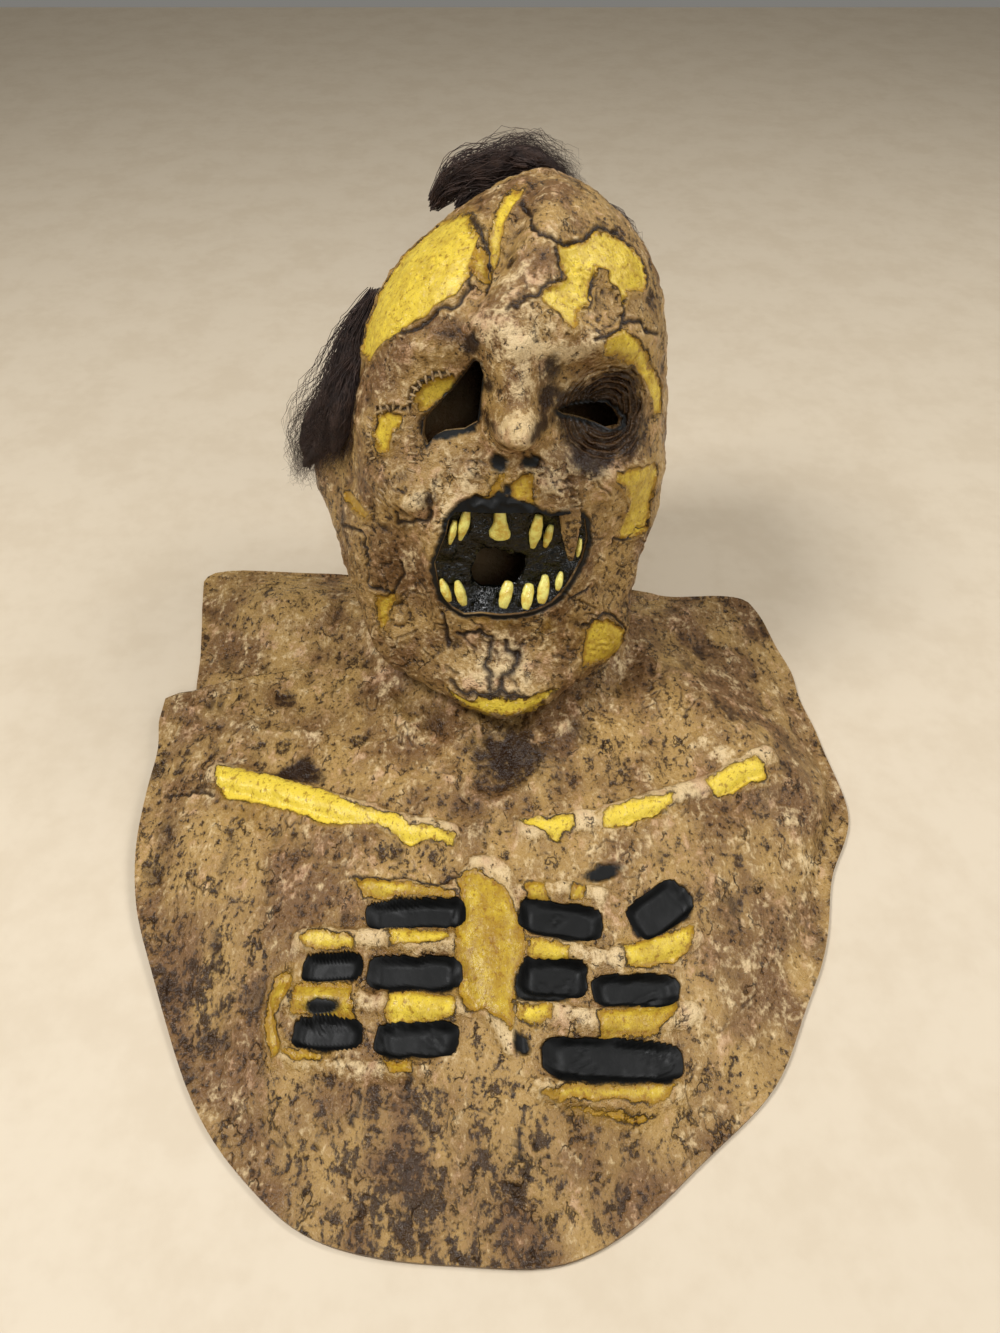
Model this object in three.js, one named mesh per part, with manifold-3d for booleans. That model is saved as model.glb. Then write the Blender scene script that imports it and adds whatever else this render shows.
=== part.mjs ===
// An over-the-head latex zombie mask with a chest bib, resting on a table as it is stored.
// The skin is one hollow casting: crown, face, neck, a front bib with a raised rib cage, and
// shoulder flaps. The teeth are set in the black gum, and three tufts of hair are glued on.
// Millimetres, +Z up, the face towards -Y. In the names, left and right are as seen from the
// front, so right is +X. The origin is at the centre of the part's bounding box on the table.
import * as THREE from "three";
import Module from "manifold-3d";

const wasm = await Module();
wasm.setup();

// Driving dimensions of the head
const HEAD_HEIGHT = 291;
const HEAD_WIDTH = 175;
const HEAD_DEPTH = 187;
const FACE_LEAN = THREE.MathUtils.degToRad(17);
const CHIN_BACK = 14;
const CHIN_RISE = 20;
const WALL = 2.5;

// Driving dimensions of the neck and the bib
const NECK_WIDTH = 180;
const NECK_DEPTH = 140;
const NECK_RISE = 34;
const BIB_REACH = 378;
const BIB_CROWN = 14;
const HEM_SHARE = 0.06;
const TUCK_BEARING = -77.7;
const TUCK_LIFT = 9;
const TUCK_SPREAD = 55;
const TUCK_WIDTH = 1.1;
// Shares of the way from the neck to the hem where the tuck's lift starts and is full.
const TUCK_START = 0.15;
const TUCK_FULL = 0.7;
// The bib's side profile: how much of the crown is left at the sides, how boxy the crown is, how
// fast the neck sweeps down, and over what last share of the way the folds fade.
const SIDE_CROWN = 0.25;
const CROWN_POWER = 0.8;
const NECK_SWEEP = 2.2;
const FOLD_FADE = 0.12;

// Driving dimensions of the mouth, the rib cage and the hair
const MOUTH_WIDTH = 80;
const MOUTH_HEIGHT = 72;
const GUM_DEPTH = 15;
const TOOTH_THICKNESS = 6.5;
const RIB_BREADTH = 13;
const RIB_HEIGHT = 3.6;
const STERNUM_HEIGHT = 5;
const CLAVICLE_HEIGHT = 4;
const POCKET_DEPTH = 6.5;
const TUFT_LENGTH = 92;
// A lock's size along it: its least share of the full width, and where on a half wave it starts
// and ends.
const LOCK_LEAST = 0.45;
const LOCK_ROOT = 0.2;
const LOCK_TIP = 0.92;
const SEAT_GAP = 0.3;
// Shares of the tooth's thickness that it beds into the gum, and of the wall for the hanging
// tongue of lip: how far it is sunk, and its half thickness.
const TOOTH_BEDDING = 0.25;
const LIP_SUNK = 1 / 3;
const LIP_THICKNESS = 0.8;
// Shares of the wall: how far a bone's foot is bedded, and how low a pocket's floor may lie.
const BONE_FOOT = 0.6;
const POCKET_LOWEST = 1.6;
const POCKET_POWER = 3.2;
const POCKET_CLEARANCE = 20;

// How finely the parts are faceted
const COLUMNS = 42;
const FRONT_DENSITY = 0.45;
const CROWN_START = 0.35;
const TUCK_CLEARANCE = 2;
const TOOTH_SIDES = 6;
const LIP_SIDES = 8;
const POCKET_CORNERS = 10;
const LOCK_ROWS = 7;
const LOCK_SIDES = 6;

// How the smooth skin is worked out: the reach of a slope, the rings over which the face's
// forms fade and the wall's thickness turns upright, how far behind its own side a form still
// acts as a share of the head's depth, and how a place on the face is closed in on.
const SLOPE_REACH = 0.02;
const FORM_FADE = 2;
const WALL_TURN = 2.2;
const FORM_BEHIND = 1 / 3;
const FACE_BEHIND = 1 / 9;
const CLOSING_STEPS = 14;
const CLOSING_PACE = 0.6;

// Level sections of the head, crown first. rise is a share of the head's height, side of its
// width, halfWidth of its half width, and front and behind of its half depth.
const HEAD_SECTIONS = [
  { rise: 1.0, side: 0.13, halfWidth: 0, front: 0, behind: 0, power: 2, steps: 1 },
  { rise: 0.985, side: 0.13, halfWidth: 0.19, front: 0.22, behind: 0.28, power: 2, steps: 1 },
  { rise: 0.955, side: 0.125, halfWidth: 0.38, front: 0.42, behind: 0.5, power: 2, steps: 1 },
  { rise: 0.905, side: 0.105, halfWidth: 0.6, front: 0.62, behind: 0.72, power: 2, steps: 1 },
  { rise: 0.835, side: 0.08, halfWidth: 0.82, front: 0.78, behind: 0.9, power: 2.1, steps: 2 },
  { rise: 0.75, side: 0.055, halfWidth: 0.95, front: 0.88, behind: 1.0, power: 2.2, steps: 3 },
  { rise: 0.65, side: 0.04, halfWidth: 1.01, front: 0.91, behind: 1.04, power: 2.3, steps: 3 },
  { rise: 0.545, side: 0.02, halfWidth: 1.02, front: 0.88, behind: 1.02, power: 2.3, steps: 3 },
  { rise: 0.44, side: 0, halfWidth: 1.02, front: 0.86, behind: 0.96, power: 2.3, steps: 3 },
  { rise: 0.34, side: -0.02, halfWidth: 1.01, front: 0.84, behind: 0.88, power: 2.3, steps: 3 },
  { rise: 0.24, side: -0.02, halfWidth: 0.99, front: 0.8, behind: 0.78, power: 2.3, steps: 2 },
  { rise: 0.15, side: -0.01, halfWidth: 0.97, front: 0.74, behind: 0.7, power: 2.3, steps: 2 },
  { rise: 0.07, side: 0, halfWidth: 0.94, front: 0.62, behind: 0.64, power: 2.3, steps: 2 },
];

// Rings where the neck spreads into the bib. Heights are shares of the neck's rise, widths of
// its half width, and back, front and behind of its half depth.
const NECK_RINGS = [
  { back: -0.09, high: 1.18, beside: 0.88, low: 0.47, halfWidth: 0.89, front: 0.77, behind: 0.86 },
  { back: -0.06, high: 1.0, beside: 0.59, low: 0.24, halfWidth: 1.0, front: 1.11, behind: 0.89 },
];

// Where the bib has its rings, as shares of the way from the neck to the hem.
const BIB_RINGS = [0.12, 0.3, 0.5, 0.7, 0.86, 1 - HEM_SHARE, 1];

// The hem's outline seen from above: bearing in degrees from straight ahead, reach as a share
// of the bib's reach.
const HEM = [
  { bearing: -180, reach: 0.27 },
  { bearing: -150, reach: 0.28 },
  { bearing: -130, reach: 0.34 },
  { bearing: -120, reach: 0.46 },
  { bearing: -112, reach: 0.64 },
  { bearing: -106, reach: 0.6 },
  { bearing: -90, reach: 0.55 },
  { bearing: -78.4, reach: 0.548 },
  { bearing: -77, reach: 0.595 },
  { bearing: -66, reach: 0.622 },
  { bearing: -58, reach: 0.661 },
  { bearing: -51, reach: 0.714 },
  { bearing: -40, reach: 0.783 },
  { bearing: -29, reach: 0.868 },
  { bearing: -21, reach: 0.944 },
  { bearing: -14, reach: 0.995 },
  { bearing: -7, reach: 1.003 },
  { bearing: 4, reach: 1.0 },
  { bearing: 10, reach: 0.968 },
  { bearing: 17, reach: 0.913 },
  { bearing: 25, reach: 0.865 },
  { bearing: 31, reach: 0.804 },
  { bearing: 40, reach: 0.738 },
  { bearing: 46, reach: 0.696 },
  { bearing: 57, reach: 0.661 },
  { bearing: 67, reach: 0.587 },
  { bearing: 78, reach: 0.542 },
  { bearing: 89, reach: 0.516 },
  { bearing: 109, reach: 0.505 },
  { bearing: 115, reach: 0.36 },
  { bearing: 130, reach: 0.3 },
  { bearing: 150, reach: 0.28 },
  { bearing: 180, reach: 0.27 },
];

// Swellings and hollows of the head. bearing and turn are in degrees, up and height are shares
// of the head's height, width of its width, and depth of its depth, outwards where positive.
const HEAD_FORMS = [
  { name: "nose_tip", bearing: 1.5, up: 0.605, width: 0.072, height: 0.036, turn: 0, depth: 0.135 },
  { name: "nose_bridge", bearing: -1, up: 0.69, width: 0.08, height: 0.1, turn: 5, depth: 0.085 },
  { name: "glabella", bearing: 0, up: 0.785, width: 0.15, height: 0.035, turn: 0, depth: 0.03 },
  { name: "brow_right", bearing: 28, up: 0.735, width: 0.18, height: 0.036, turn: -10, depth: 0.05 },
  { name: "brow_left", bearing: -26, up: 0.735, width: 0.17, height: 0.036, turn: 12, depth: 0.03 },
  { name: "socket_right", bearing: 29, up: 0.62, width: 0.15, height: 0.08, turn: 0, depth: -0.08 },
  { name: "socket_left", bearing: -18, up: 0.63, width: 0.13, height: 0.1, turn: -30, depth: -0.07 },
  { name: "cheekbone_right", bearing: 45, up: 0.49, width: 0.16, height: 0.06, turn: 0, depth: 0.04 },
  { name: "cheek_knob", bearing: -32, up: 0.455, width: 0.08, height: 0.045, turn: 0, depth: 0.05 },
  { name: "cheekbone_left", bearing: -52, up: 0.54, width: 0.13, height: 0.1, turn: 0, depth: 0.035 },
  { name: "muzzle", bearing: 2, up: 0.36, width: 0.32, height: 0.16, turn: 0, depth: 0.055 },
  { name: "cheek_hollow_left", bearing: -32, up: 0.27, width: 0.08, height: 0.14, turn: -6, depth: -0.05 },
  { name: "cheek_hollow_right", bearing: 48, up: 0.3, width: 0.12, height: 0.1, turn: 0, depth: -0.03 },
  { name: "chin", bearing: 1, up: 0.052, width: 0.24, height: 0.058, turn: 0, depth: 0.19 },
  { name: "jaw_right", bearing: 50, up: 0.12, width: 0.13, height: 0.06, turn: 0, depth: 0.035 },
  { name: "jaw_left", bearing: -44, up: 0.1, width: 0.16, height: 0.07, turn: 0, depth: 0.05 },
  { name: "crown_crease", bearing: -17, up: 0.86, width: 0.045, height: 0.11, turn: -18, depth: -0.05 },
  { name: "crown_fold", bearing: 5, up: 0.88, width: 0.06, height: 0.09, turn: -14, depth: 0.03 },
  { name: "ear_left", bearing: -99, up: 0.42, width: 0.15, height: 0.13, turn: 0, depth: 0.15 },
  { name: "cheek_side_left", bearing: -84, up: 0.25, width: 0.2, height: 0.12, turn: 0, depth: 0.04 },
  { name: "cheek_side_right", bearing: 84, up: 0.38, width: 0.2, height: 0.15, turn: 0, depth: 0.055 },
  { name: "ear_right", bearing: 98, up: 0.52, width: 0.12, height: 0.11, turn: 0, depth: 0.05 },
];

// Swells and folds of the bib, all as shares of its reach: x and y from the neck's middle.
const BIB_FORMS = [
  { name: "right_ridge", x: 0.4, y: -0.26, length: 0.24, breadth: 0.08, turn: -52, rise: 0.04 },
  { name: "left_flap_swell", x: -0.42, y: 0.1, length: 0.14, breadth: 0.07, turn: 8, rise: 0.018 },
  { name: "throat_pit", x: -0.02, y: -0.37, length: 0.05, breadth: 0.06, turn: 0, rise: -0.02 },
  { name: "pectoral_left", x: -0.34, y: -0.46, length: 0.17, breadth: 0.13, turn: 0, rise: 0.015 },
  { name: "pectoral_right", x: 0.33, y: -0.46, length: 0.17, breadth: 0.13, turn: 0, rise: 0.015 },
  { name: "belly_fold", x: 0.02, y: -0.87, length: 0.1, breadth: 0.035, turn: 84, rise: 0.012 },
];

// Corners of the two eye holes: across as shares of the head's width, up of its height.
const EYE_LEFT = [
  { across: -0.061, up: 0.708 },
  { across: -0.049, up: 0.686 },
  { across: -0.059, up: 0.639 },
  { across: -0.068, up: 0.598 },
  { across: -0.109, up: 0.581 },
  { across: -0.172, up: 0.575 },
  { across: -0.2, up: 0.567 },
  { across: -0.226, up: 0.548 },
  { across: -0.24, up: 0.568 },
  { across: -0.234, up: 0.594 },
  { across: -0.194, up: 0.62 },
  { across: -0.139, up: 0.654 },
  { across: -0.108, up: 0.679 },
  { across: -0.076, up: 0.707 },
];
const EYE_RIGHT = [
  { across: 0.17, up: 0.619 },
  { across: 0.207, up: 0.622 },
  { across: 0.265, up: 0.62 },
  { across: 0.325, up: 0.619 },
  { across: 0.364, up: 0.602 },
  { across: 0.385, up: 0.583 },
  { across: 0.382, up: 0.573 },
  { across: 0.341, up: 0.571 },
  { across: 0.293, up: 0.584 },
  { across: 0.244, up: 0.595 },
  { across: 0.193, up: 0.607 },
];

// Where the mouth is: across as a share of the head's width, up of its height.
const MOUTH = { across: 0.0215, up: 0.337 };

// The mouth's torn edge, counter-clockwise from the right: across and up from the
// mouth's middle, as shares of its width and height.
const MOUTH_EDGE = [
  { across: 0.569, up: 0.131 },
  { across: 0.545, up: 0.3 },
  { across: 0.47, up: 0.385 },
  { across: 0.289, up: 0.372 },
  { across: 0.218, up: 0.408 },
  { across: 0.147, up: 0.453 },
  { across: 0.031, up: 0.5 },
  { across: -0.049, up: 0.54 },
  { across: -0.129, up: 0.49 },
  { across: -0.209, up: 0.52 },
  { across: -0.3, up: 0.475 },
  { across: -0.396, up: 0.342 },
  { across: -0.418, up: 0.231 },
  { across: -0.467, up: 0.087 },
  { across: -0.511, up: -0.047 },
  { across: -0.493, up: -0.224 },
  { across: -0.458, up: -0.357 },
  { across: -0.396, up: -0.446 },
  { across: -0.307, up: -0.507 },
  { across: -0.182, up: -0.485 },
  { across: -0.04, up: -0.507 },
  { across: 0.102, up: -0.496 },
  { across: 0.218, up: -0.468 },
  { across: 0.324, up: -0.413 },
  { across: 0.396, up: -0.335 },
  { across: 0.467, up: -0.213 },
  { across: 0.538, up: -0.058 },
];

// The gum's profile, from the lips to the throat hole: ring as a share of the mouth's edge,
// sunk as a share of the gum's depth, aside and drop as shares of the mouth's width and height.
const GUM_PROFILE = [
  { ring: 1.05, sunk: 0.05, aside: 0, drop: 0 },
  { ring: 0.9, sunk: 0.35, aside: 0, drop: 0 },
  { ring: 0.66, sunk: 0.8, aside: -0.02, drop: 0.03 },
  { ring: 0.36, sunk: 1.0, aside: -0.07, drop: 0.13 },
];

// The tongue of lip that hangs over the mouth's edge on the right, root to tip, in shares
// of the mouth's width and height.
const LIP_FLAP = [
  { across: 0.43, up: 0.42, half: 0.075 },
  { across: 0.435, up: 0.28, half: 0.072 },
  { across: 0.44, up: 0.14, half: 0.05 },
  { across: 0.45, up: -0.02, half: 0.02 },
];

// Teeth on the gum, from root to tip in shares of the mouth's width and height from its middle.
// width is a share of the mouth's width, and flare the tip's width as a share of the tooth's.
const TEETH = [
  { name: "tooth_upper_1", root: [-0.355, 0.319], tip: [-0.395, 0.122], width: 0.055, flare: 0.5 },
  { name: "tooth_upper_2", root: [-0.27, 0.399], tip: [-0.325, 0.142], width: 0.078, flare: 0.45 },
  { name: "tooth_upper_3", root: [-0.044, 0.453], tip: [-0.049, 0.158], width: 0.14, flare: 1.05 },
  { name: "tooth_upper_4", root: [0.216, 0.364], tip: [0.181, 0.053], width: 0.09, flare: 0.5 },
  { name: "tooth_upper_5", root: [0.308, 0.25], tip: [0.268, 0.06], width: 0.062, flare: 0.6 },
  { name: "tooth_upper_6", root: [0.515, 0.13], tip: [0.5, -0.024], width: 0.04, flare: 0.6 },
  { name: "tooth_lower_1", root: [-0.41, -0.379], tip: [-0.466, -0.189], width: 0.066, flare: 0.5 },
  { name: "tooth_lower_2", root: [-0.306, -0.424], tip: [-0.355, -0.214], width: 0.08, flare: 0.6 },
  { name: "tooth_lower_3", root: [-0.025, -0.446], tip: [0.0175, -0.233], width: 0.095, flare: 0.75 },
  { name: "tooth_lower_4", root: [0.139, -0.456], tip: [0.165, -0.258], width: 0.09, flare: 0.75 },
  { name: "tooth_lower_5", root: [0.25, -0.411], tip: [0.28, -0.185], width: 0.088, flare: 0.6 },
  { name: "tooth_lower_6", root: [0.366, -0.3], tip: [0.388, -0.15], width: 0.056, flare: 0.6 },
];

// A tooth's profile: share of the way from root to tip, and size as a share of its width, which
// its flare also scales near the tip.
const TOOTH_PROFILE = [
  { share: 0, size: 0.5, flares: false },
  { share: 0.15, size: 0.85, flares: false },
  { share: 0.55, size: 1, flares: false },
  { share: 0.9, size: 1, flares: true },
  { share: 1, size: 0.7, flares: true },
];

// Raised bones of the chest, as shares of the bib's reach from the neck's middle. breadth is a
// share of the rib breadth, and height of the rib height.
const BONES = [
  {
    name: "clavicle_left",
    breadth: 1.3,
    height: 1.1,
    line: [[-0.451, -0.317], [-0.36, -0.352], [-0.26, -0.392], [-0.16, -0.432], [-0.078, -0.451]],
  },
  {
    name: "clavicle_right",
    breadth: 1.2,
    height: 1.1,
    line: [[0.044, -0.446], [0.13, -0.428], [0.213, -0.4], [0.33, -0.35], [0.425, -0.3]],
  },
  {
    name: "rib_left_1",
    breadth: 0.8,
    height: 0.9,
    line: [[-0.19, -0.536], [-0.12, -0.54], [-0.055, -0.548]],
  },
  {
    name: "rib_left_2",
    breadth: 1,
    height: 1,
    line: [[-0.275, -0.61], [-0.165, -0.612], [-0.055, -0.622]],
  },
  {
    name: "rib_left_3",
    breadth: 1,
    height: 1,
    line: [[-0.292, -0.688], [-0.17, -0.7], [-0.05, -0.71]],
  },
  {
    name: "rib_left_4",
    breadth: 0.8,
    height: 0.7,
    line: [[-0.28, -0.765], [-0.17, -0.79], [-0.09, -0.79]],
  },
  {
    name: "rib_right_1",
    breadth: 0.8,
    height: 0.9,
    line: [[0.03, -0.545], [0.09, -0.54], [0.14, -0.55]],
  },
  {
    name: "rib_right_2",
    breadth: 1,
    height: 1,
    line: [[0.03, -0.622], [0.13, -0.64], [0.2, -0.63], [0.27, -0.6]],
  },
  {
    name: "rib_right_3",
    breadth: 1,
    height: 1,
    line: [[0.03, -0.715], [0.13, -0.725], [0.2, -0.722], [0.255, -0.708]],
  },
  {
    name: "rib_right_4",
    breadth: 1,
    height: 0.9,
    line: [[0.05, -0.81], [0.13, -0.815], [0.22, -0.812]],
  },
];

// A bone's profile from one foot over its top to the other: shares of its half width and height.
const BONE_PROFILE = [
  { beside: -1, up: 0 },
  { beside: -0.85, up: 0.45 },
  { beside: -0.4, up: 0.92 },
  { beside: 0.4, up: 0.92 },
  { beside: 0.85, up: 0.45 },
  { beside: 1, up: 0 },
];

// How much narrower a bone is at its ends.
const BONE_END = 0.8;

// Half widths of the breastbone along its length, from the throat down, as shares of the
// bib's reach.
const STERNUM = [
  { x: -0.028, y: -0.505, half: 0.022 },
  { x: -0.02, y: -0.53, half: 0.045 },
  { x: -0.012, y: -0.58, half: 0.05 },
  { x: -0.006, y: -0.625, half: 0.054 },
  { x: -0.008, y: -0.675, half: 0.036 },
  { x: 0.002, y: -0.715, half: 0.03 },
  { x: 0.016, y: -0.765, half: 0.01 },
];

// Black pockets between the ribs: middle and size as shares of the bib's reach, turn in degrees.
const POCKETS = [
  { name: "left_1", x: -0.118, y: -0.577, length: 0.13, breadth: 0.04, turn: 2 },
  { name: "left_2", x: -0.116, y: -0.66, length: 0.12, breadth: 0.042, turn: -2 },
  { name: "left_2_outer", x: -0.228, y: -0.65, length: 0.075, breadth: 0.034, turn: 0 },
  { name: "left_3", x: -0.108, y: -0.748, length: 0.1, breadth: 0.04, turn: 0 },
  { name: "left_3_outer", x: -0.226, y: -0.737, length: 0.085, breadth: 0.036, turn: -4 },
  { name: "right_1", x: 0.085, y: -0.585, length: 0.11, breadth: 0.046, turn: -8 },
  { name: "right_1_outer", x: 0.226, y: -0.565, length: 0.09, breadth: 0.055, turn: 38 },
  { name: "right_2", x: 0.072, y: -0.668, length: 0.085, breadth: 0.046, turn: -4 },
  { name: "right_2_outer", x: 0.182, y: -0.68, length: 0.11, breadth: 0.04, turn: 4 },
  { name: "right_3", x: 0.145, y: -0.77, length: 0.17, breadth: 0.046, turn: 0 },
];

// Axes of the leaning head.
const ACROSS = new THREE.Vector3(1, 0, 0);
const UP = new THREE.Vector3(0, Math.sin(FACE_LEAN), Math.cos(FACE_LEAN));
const AHEAD = new THREE.Vector3(0, -Math.cos(FACE_LEAN), Math.sin(FACE_LEAN));
const CHIN_LEVEL = new THREE.Vector3(0, -CHIN_BACK, CHIN_RISE);

// A point in the head's own axes, as a point of the mask.
function headPlace(across, up, ahead) {
  const level = CHIN_LEVEL.clone().addScaledVector(UP, up);
  return level.addScaledVector(ACROSS, across).addScaledVector(AHEAD, ahead);
}

// A rounded-box version of a sine or cosine.
function boxed(value, power) {
  return Math.sign(value) * Math.abs(value) ** (2 / power);
}

// A point on one level section of the head.
function sectionPoint(section, bearing) {
  const across = boxed(Math.sin(bearing), section.power) * section.halfWidth * (HEAD_WIDTH / 2);
  const ahead = boxed(Math.cos(bearing), section.power) * (HEAD_DEPTH / 2);
  const depth = ahead > 0 ? section.front : section.behind;
  return headPlace(across + section.side * HEAD_WIDTH, section.rise * HEAD_HEIGHT, ahead * depth);
}

// A point on one of the neck's rings.
function neckPoint(ring, bearing) {
  const c = Math.cos(bearing);
  const depth = c > 0 ? ring.front : ring.behind;
  const end = c > 0 ? ring.high : ring.low;
  return new THREE.Vector3(
    ring.halfWidth * (NECK_WIDTH / 2) * Math.sin(bearing),
    (ring.back - depth * c) * (NECK_DEPTH / 2),
    (ring.beside + (end - ring.beside) * c * c) * NECK_RISE,
  );
}

// The hem's distance from the neck's middle at a bearing.
function hemReach(bearing) {
  const degrees = THREE.MathUtils.radToDeg(bearing);
  const next = HEM.findIndex((row) => row.bearing >= degrees);
  const after = HEM[Math.max(next, 1)];
  const before = HEM[Math.max(next, 1) - 1];
  const share = (degrees - before.bearing) / (after.bearing - before.bearing);
  return THREE.MathUtils.lerp(before.reach, after.reach, share) * BIB_REACH;
}

// One round bump: 1 at its middle, fading with the distance along and beside it.
function bump(along, beside, length, breadth, turn) {
  const angle = THREE.MathUtils.degToRad(turn);
  const a = (along * Math.cos(angle) + beside * Math.sin(angle)) / length;
  const b = (-along * Math.sin(angle) + beside * Math.cos(angle)) / breadth;
  return Math.exp(-a * a - b * b);
}

// How far the bib's folds lift it at a place in plan.
function bibFolds(x, y) {
  return BIB_FORMS.reduce((sum, form) => {
    const along = x - form.x * BIB_REACH;
    const beside = y - form.y * BIB_REACH;
    const share = bump(along, beside, form.length * BIB_REACH, form.breadth * BIB_REACH, form.turn);
    return sum + form.rise * BIB_REACH * share;
  }, 0);
}

// How far the front panel rides over the shoulder flap beside the tuck.
function tuckLift(bearing, share) {
  const degrees = THREE.MathUtils.radToDeg(bearing) - TUCK_BEARING;
  const fade = degrees > 0 ? 1 - THREE.MathUtils.smoothstep(degrees, 0, TUCK_SPREAD) : 0;
  return TUCK_LIFT * fade * THREE.MathUtils.smoothstep(share, TUCK_START, TUCK_FULL);
}

// A point on the bib, at a share of the way from the neck to the hem.
function bibPoint(share, bearing) {
  const inner = neckPoint(NECK_RINGS.at(-1), bearing);
  const reach = hemReach(bearing);
  const edge = new THREE.Vector3(reach * Math.sin(bearing), -reach * Math.cos(bearing), WALL);
  const point = inner.clone().lerp(edge, share);
  const run = Math.min(share / (1 - HEM_SHARE), 1);
  const facing = SIDE_CROWN + (1 - SIDE_CROWN) * Math.max(Math.cos(bearing), 0);
  const crown = BIB_CROWN * facing * Math.sin(Math.PI * run) ** CROWN_POWER;
  const folds = bibFolds(point.x, point.y) * THREE.MathUtils.smoothstep(1 - run, 0, FOLD_FADE);
  point.z = WALL + (inner.z - WALL) * (1 - run) ** NECK_SWEEP + crown + folds;
  point.z = Math.max(point.z, WALL) + tuckLift(bearing, share);
  return point;
}

// The skin's rings from the crown to the hem, before the face is modelled on it.
function ringPoint(index, bearing) {
  if (index < HEAD_SECTIONS.length) return sectionPoint(HEAD_SECTIONS[index], bearing);
  const neck = index - HEAD_SECTIONS.length;
  if (neck < NECK_RINGS.length) return neckPoint(NECK_RINGS[neck], bearing);
  return bibPoint(BIB_RINGS[neck - NECK_RINGS.length], bearing);
}
const RING_COUNT = HEAD_SECTIONS.length + NECK_RINGS.length + BIB_RINGS.length;

// The smooth skin at a bearing and a place v along the rings, whole numbers being rings.
function basePoint(v, bearing) {
  const i = Math.min(Math.floor(v), RING_COUNT - 2);
  const [a, b, c, d] = [i - 1, i, i + 1, i + 2].map((k) =>
    ringPoint(THREE.MathUtils.clamp(k, 0, RING_COUNT - 1), bearing),
  );
  const t = v - i;
  const point = new THREE.Vector3();
  point.addScaledVector(a, (-t + 2 * t * t - t ** 3) / 2);
  point.addScaledVector(b, (2 - 5 * t * t + 3 * t ** 3) / 2);
  point.addScaledVector(c, (t + 4 * t * t - 3 * t ** 3) / 2);
  point.addScaledVector(d, (-t * t + t ** 3) / 2);
  return point;
}

// The smooth skin's outward direction.
function baseNormal(v, bearing) {
  if (v < SLOPE_REACH) return UP.clone();
  const below = Math.min(v + SLOPE_REACH, RING_COUNT - 1);
  const down = basePoint(below, bearing).sub(basePoint(v - SLOPE_REACH, bearing));
  const round = basePoint(v, bearing + SLOPE_REACH).sub(basePoint(v, bearing - SLOPE_REACH));
  return down.cross(round).normalize();
}

// The place along the rings of a height on the head.
function placeOfRise(rise) {
  const next = HEAD_SECTIONS.findIndex((row) => row.rise <= rise);
  if (next < 1) return next < 0 ? HEAD_SECTIONS.length - 1 : 0;
  const above = HEAD_SECTIONS[next - 1].rise;
  return next - 1 + (above - rise) / (above - HEAD_SECTIONS[next].rise);
}

// Each form's middle on the head, with the directions along which it fades.
const headForms = HEAD_FORMS.map((form) => {
  const bearing = THREE.MathUtils.degToRad(form.bearing);
  const middle = basePoint(placeOfRise(form.up), bearing);
  const out = ACROSS.clone().multiplyScalar(Math.sin(bearing)).addScaledVector(AHEAD, Math.cos(bearing));
  const round = ACROSS.clone().multiplyScalar(Math.cos(bearing)).addScaledVector(AHEAD, -Math.sin(bearing));
  return { ...form, middle, out, round };
});

// How far the face's forms push the skin out at a point of the smooth head.
function faceDepth(point) {
  return headForms.reduce((sum, form) => {
    const offset = point.clone().sub(form.middle);
    if (offset.dot(form.out) < -HEAD_DEPTH * FORM_BEHIND) return sum;
    const along = offset.dot(form.round);
    const beside = offset.dot(UP);
    const share = bump(along, beside, form.width * HEAD_WIDTH, form.height * HEAD_HEIGHT, form.turn);
    return sum + form.depth * HEAD_DEPTH * share;
  }, 0);
}

// The modelled skin, at a distance outside its outer face.
function skinPoint(v, bearing, outside = 0) {
  const point = basePoint(v, bearing);
  const normal = baseNormal(v, bearing);
  const chin = HEAD_SECTIONS.length - 1;
  const fade = 1 - THREE.MathUtils.smoothstep(v, chin, chin + FORM_FADE);
  if (fade > 0) point.addScaledVector(normal, faceDepth(point) * fade);
  const flat = THREE.MathUtils.smoothstep(v, chin + 1, chin + 1 + WALL_TURN);
  normal.lerp(new THREE.Vector3(0, 0, 1), flat).normalize();
  return point.addScaledVector(normal, outside);
}

// The point on the front of the face at a place across and up, in millimetres.
function facePoint(across, up, outside = 0) {
  let bearing = across / (HEAD_WIDTH / 2);
  let rise = up / HEAD_HEIGHT;
  let point;
  for (let turn = 0; turn < CLOSING_STEPS; turn += 1) {
    point = skinPoint(placeOfRise(rise), bearing, outside);
    const offset = point.clone().sub(CHIN_LEVEL);
    bearing += (CLOSING_PACE * (across - offset.dot(ACROSS))) / (HEAD_WIDTH / 2);
    rise += (CLOSING_PACE * (up - offset.dot(UP))) / HEAD_HEIGHT;
    rise = THREE.MathUtils.clamp(rise, HEAD_SECTIONS.at(-1).rise, 1);
  }
  return point;
}

// A closed surface through rings of points, with a fan on each end. Without ends, the last
// ring joins the first.
function loft(rings, ends = true) {
  const count = rings[0].length;
  const points = rings.flat();
  const faces = [];
  const spans = ends ? rings.length - 1 : rings.length;
  for (let i = 0; i < spans; i += 1) {
    for (let j = 0; j < count; j += 1) {
      const a = i * count + j;
      const b = i * count + ((j + 1) % count);
      const c = ((i + 1) % rings.length) * count + j;
      const d = ((i + 1) % rings.length) * count + ((j + 1) % count);
      faces.push(a, c, b, b, c, d);
    }
  }
  if (ends) {
    for (const ring of [0, rings.length - 1]) {
      const tip = points.length;
      points.push(rings[ring].reduce((sum, p) => sum.add(p), new THREE.Vector3()).divideScalar(count));
      for (let j = 0; j < count; j += 1) {
        const a = ring * count + j;
        const b = ring * count + ((j + 1) % count);
        faces.push(...(ring ? [a, tip, b] : [a, b, tip]));
      }
    }
  }
  return solid(points, faces);
}

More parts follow.
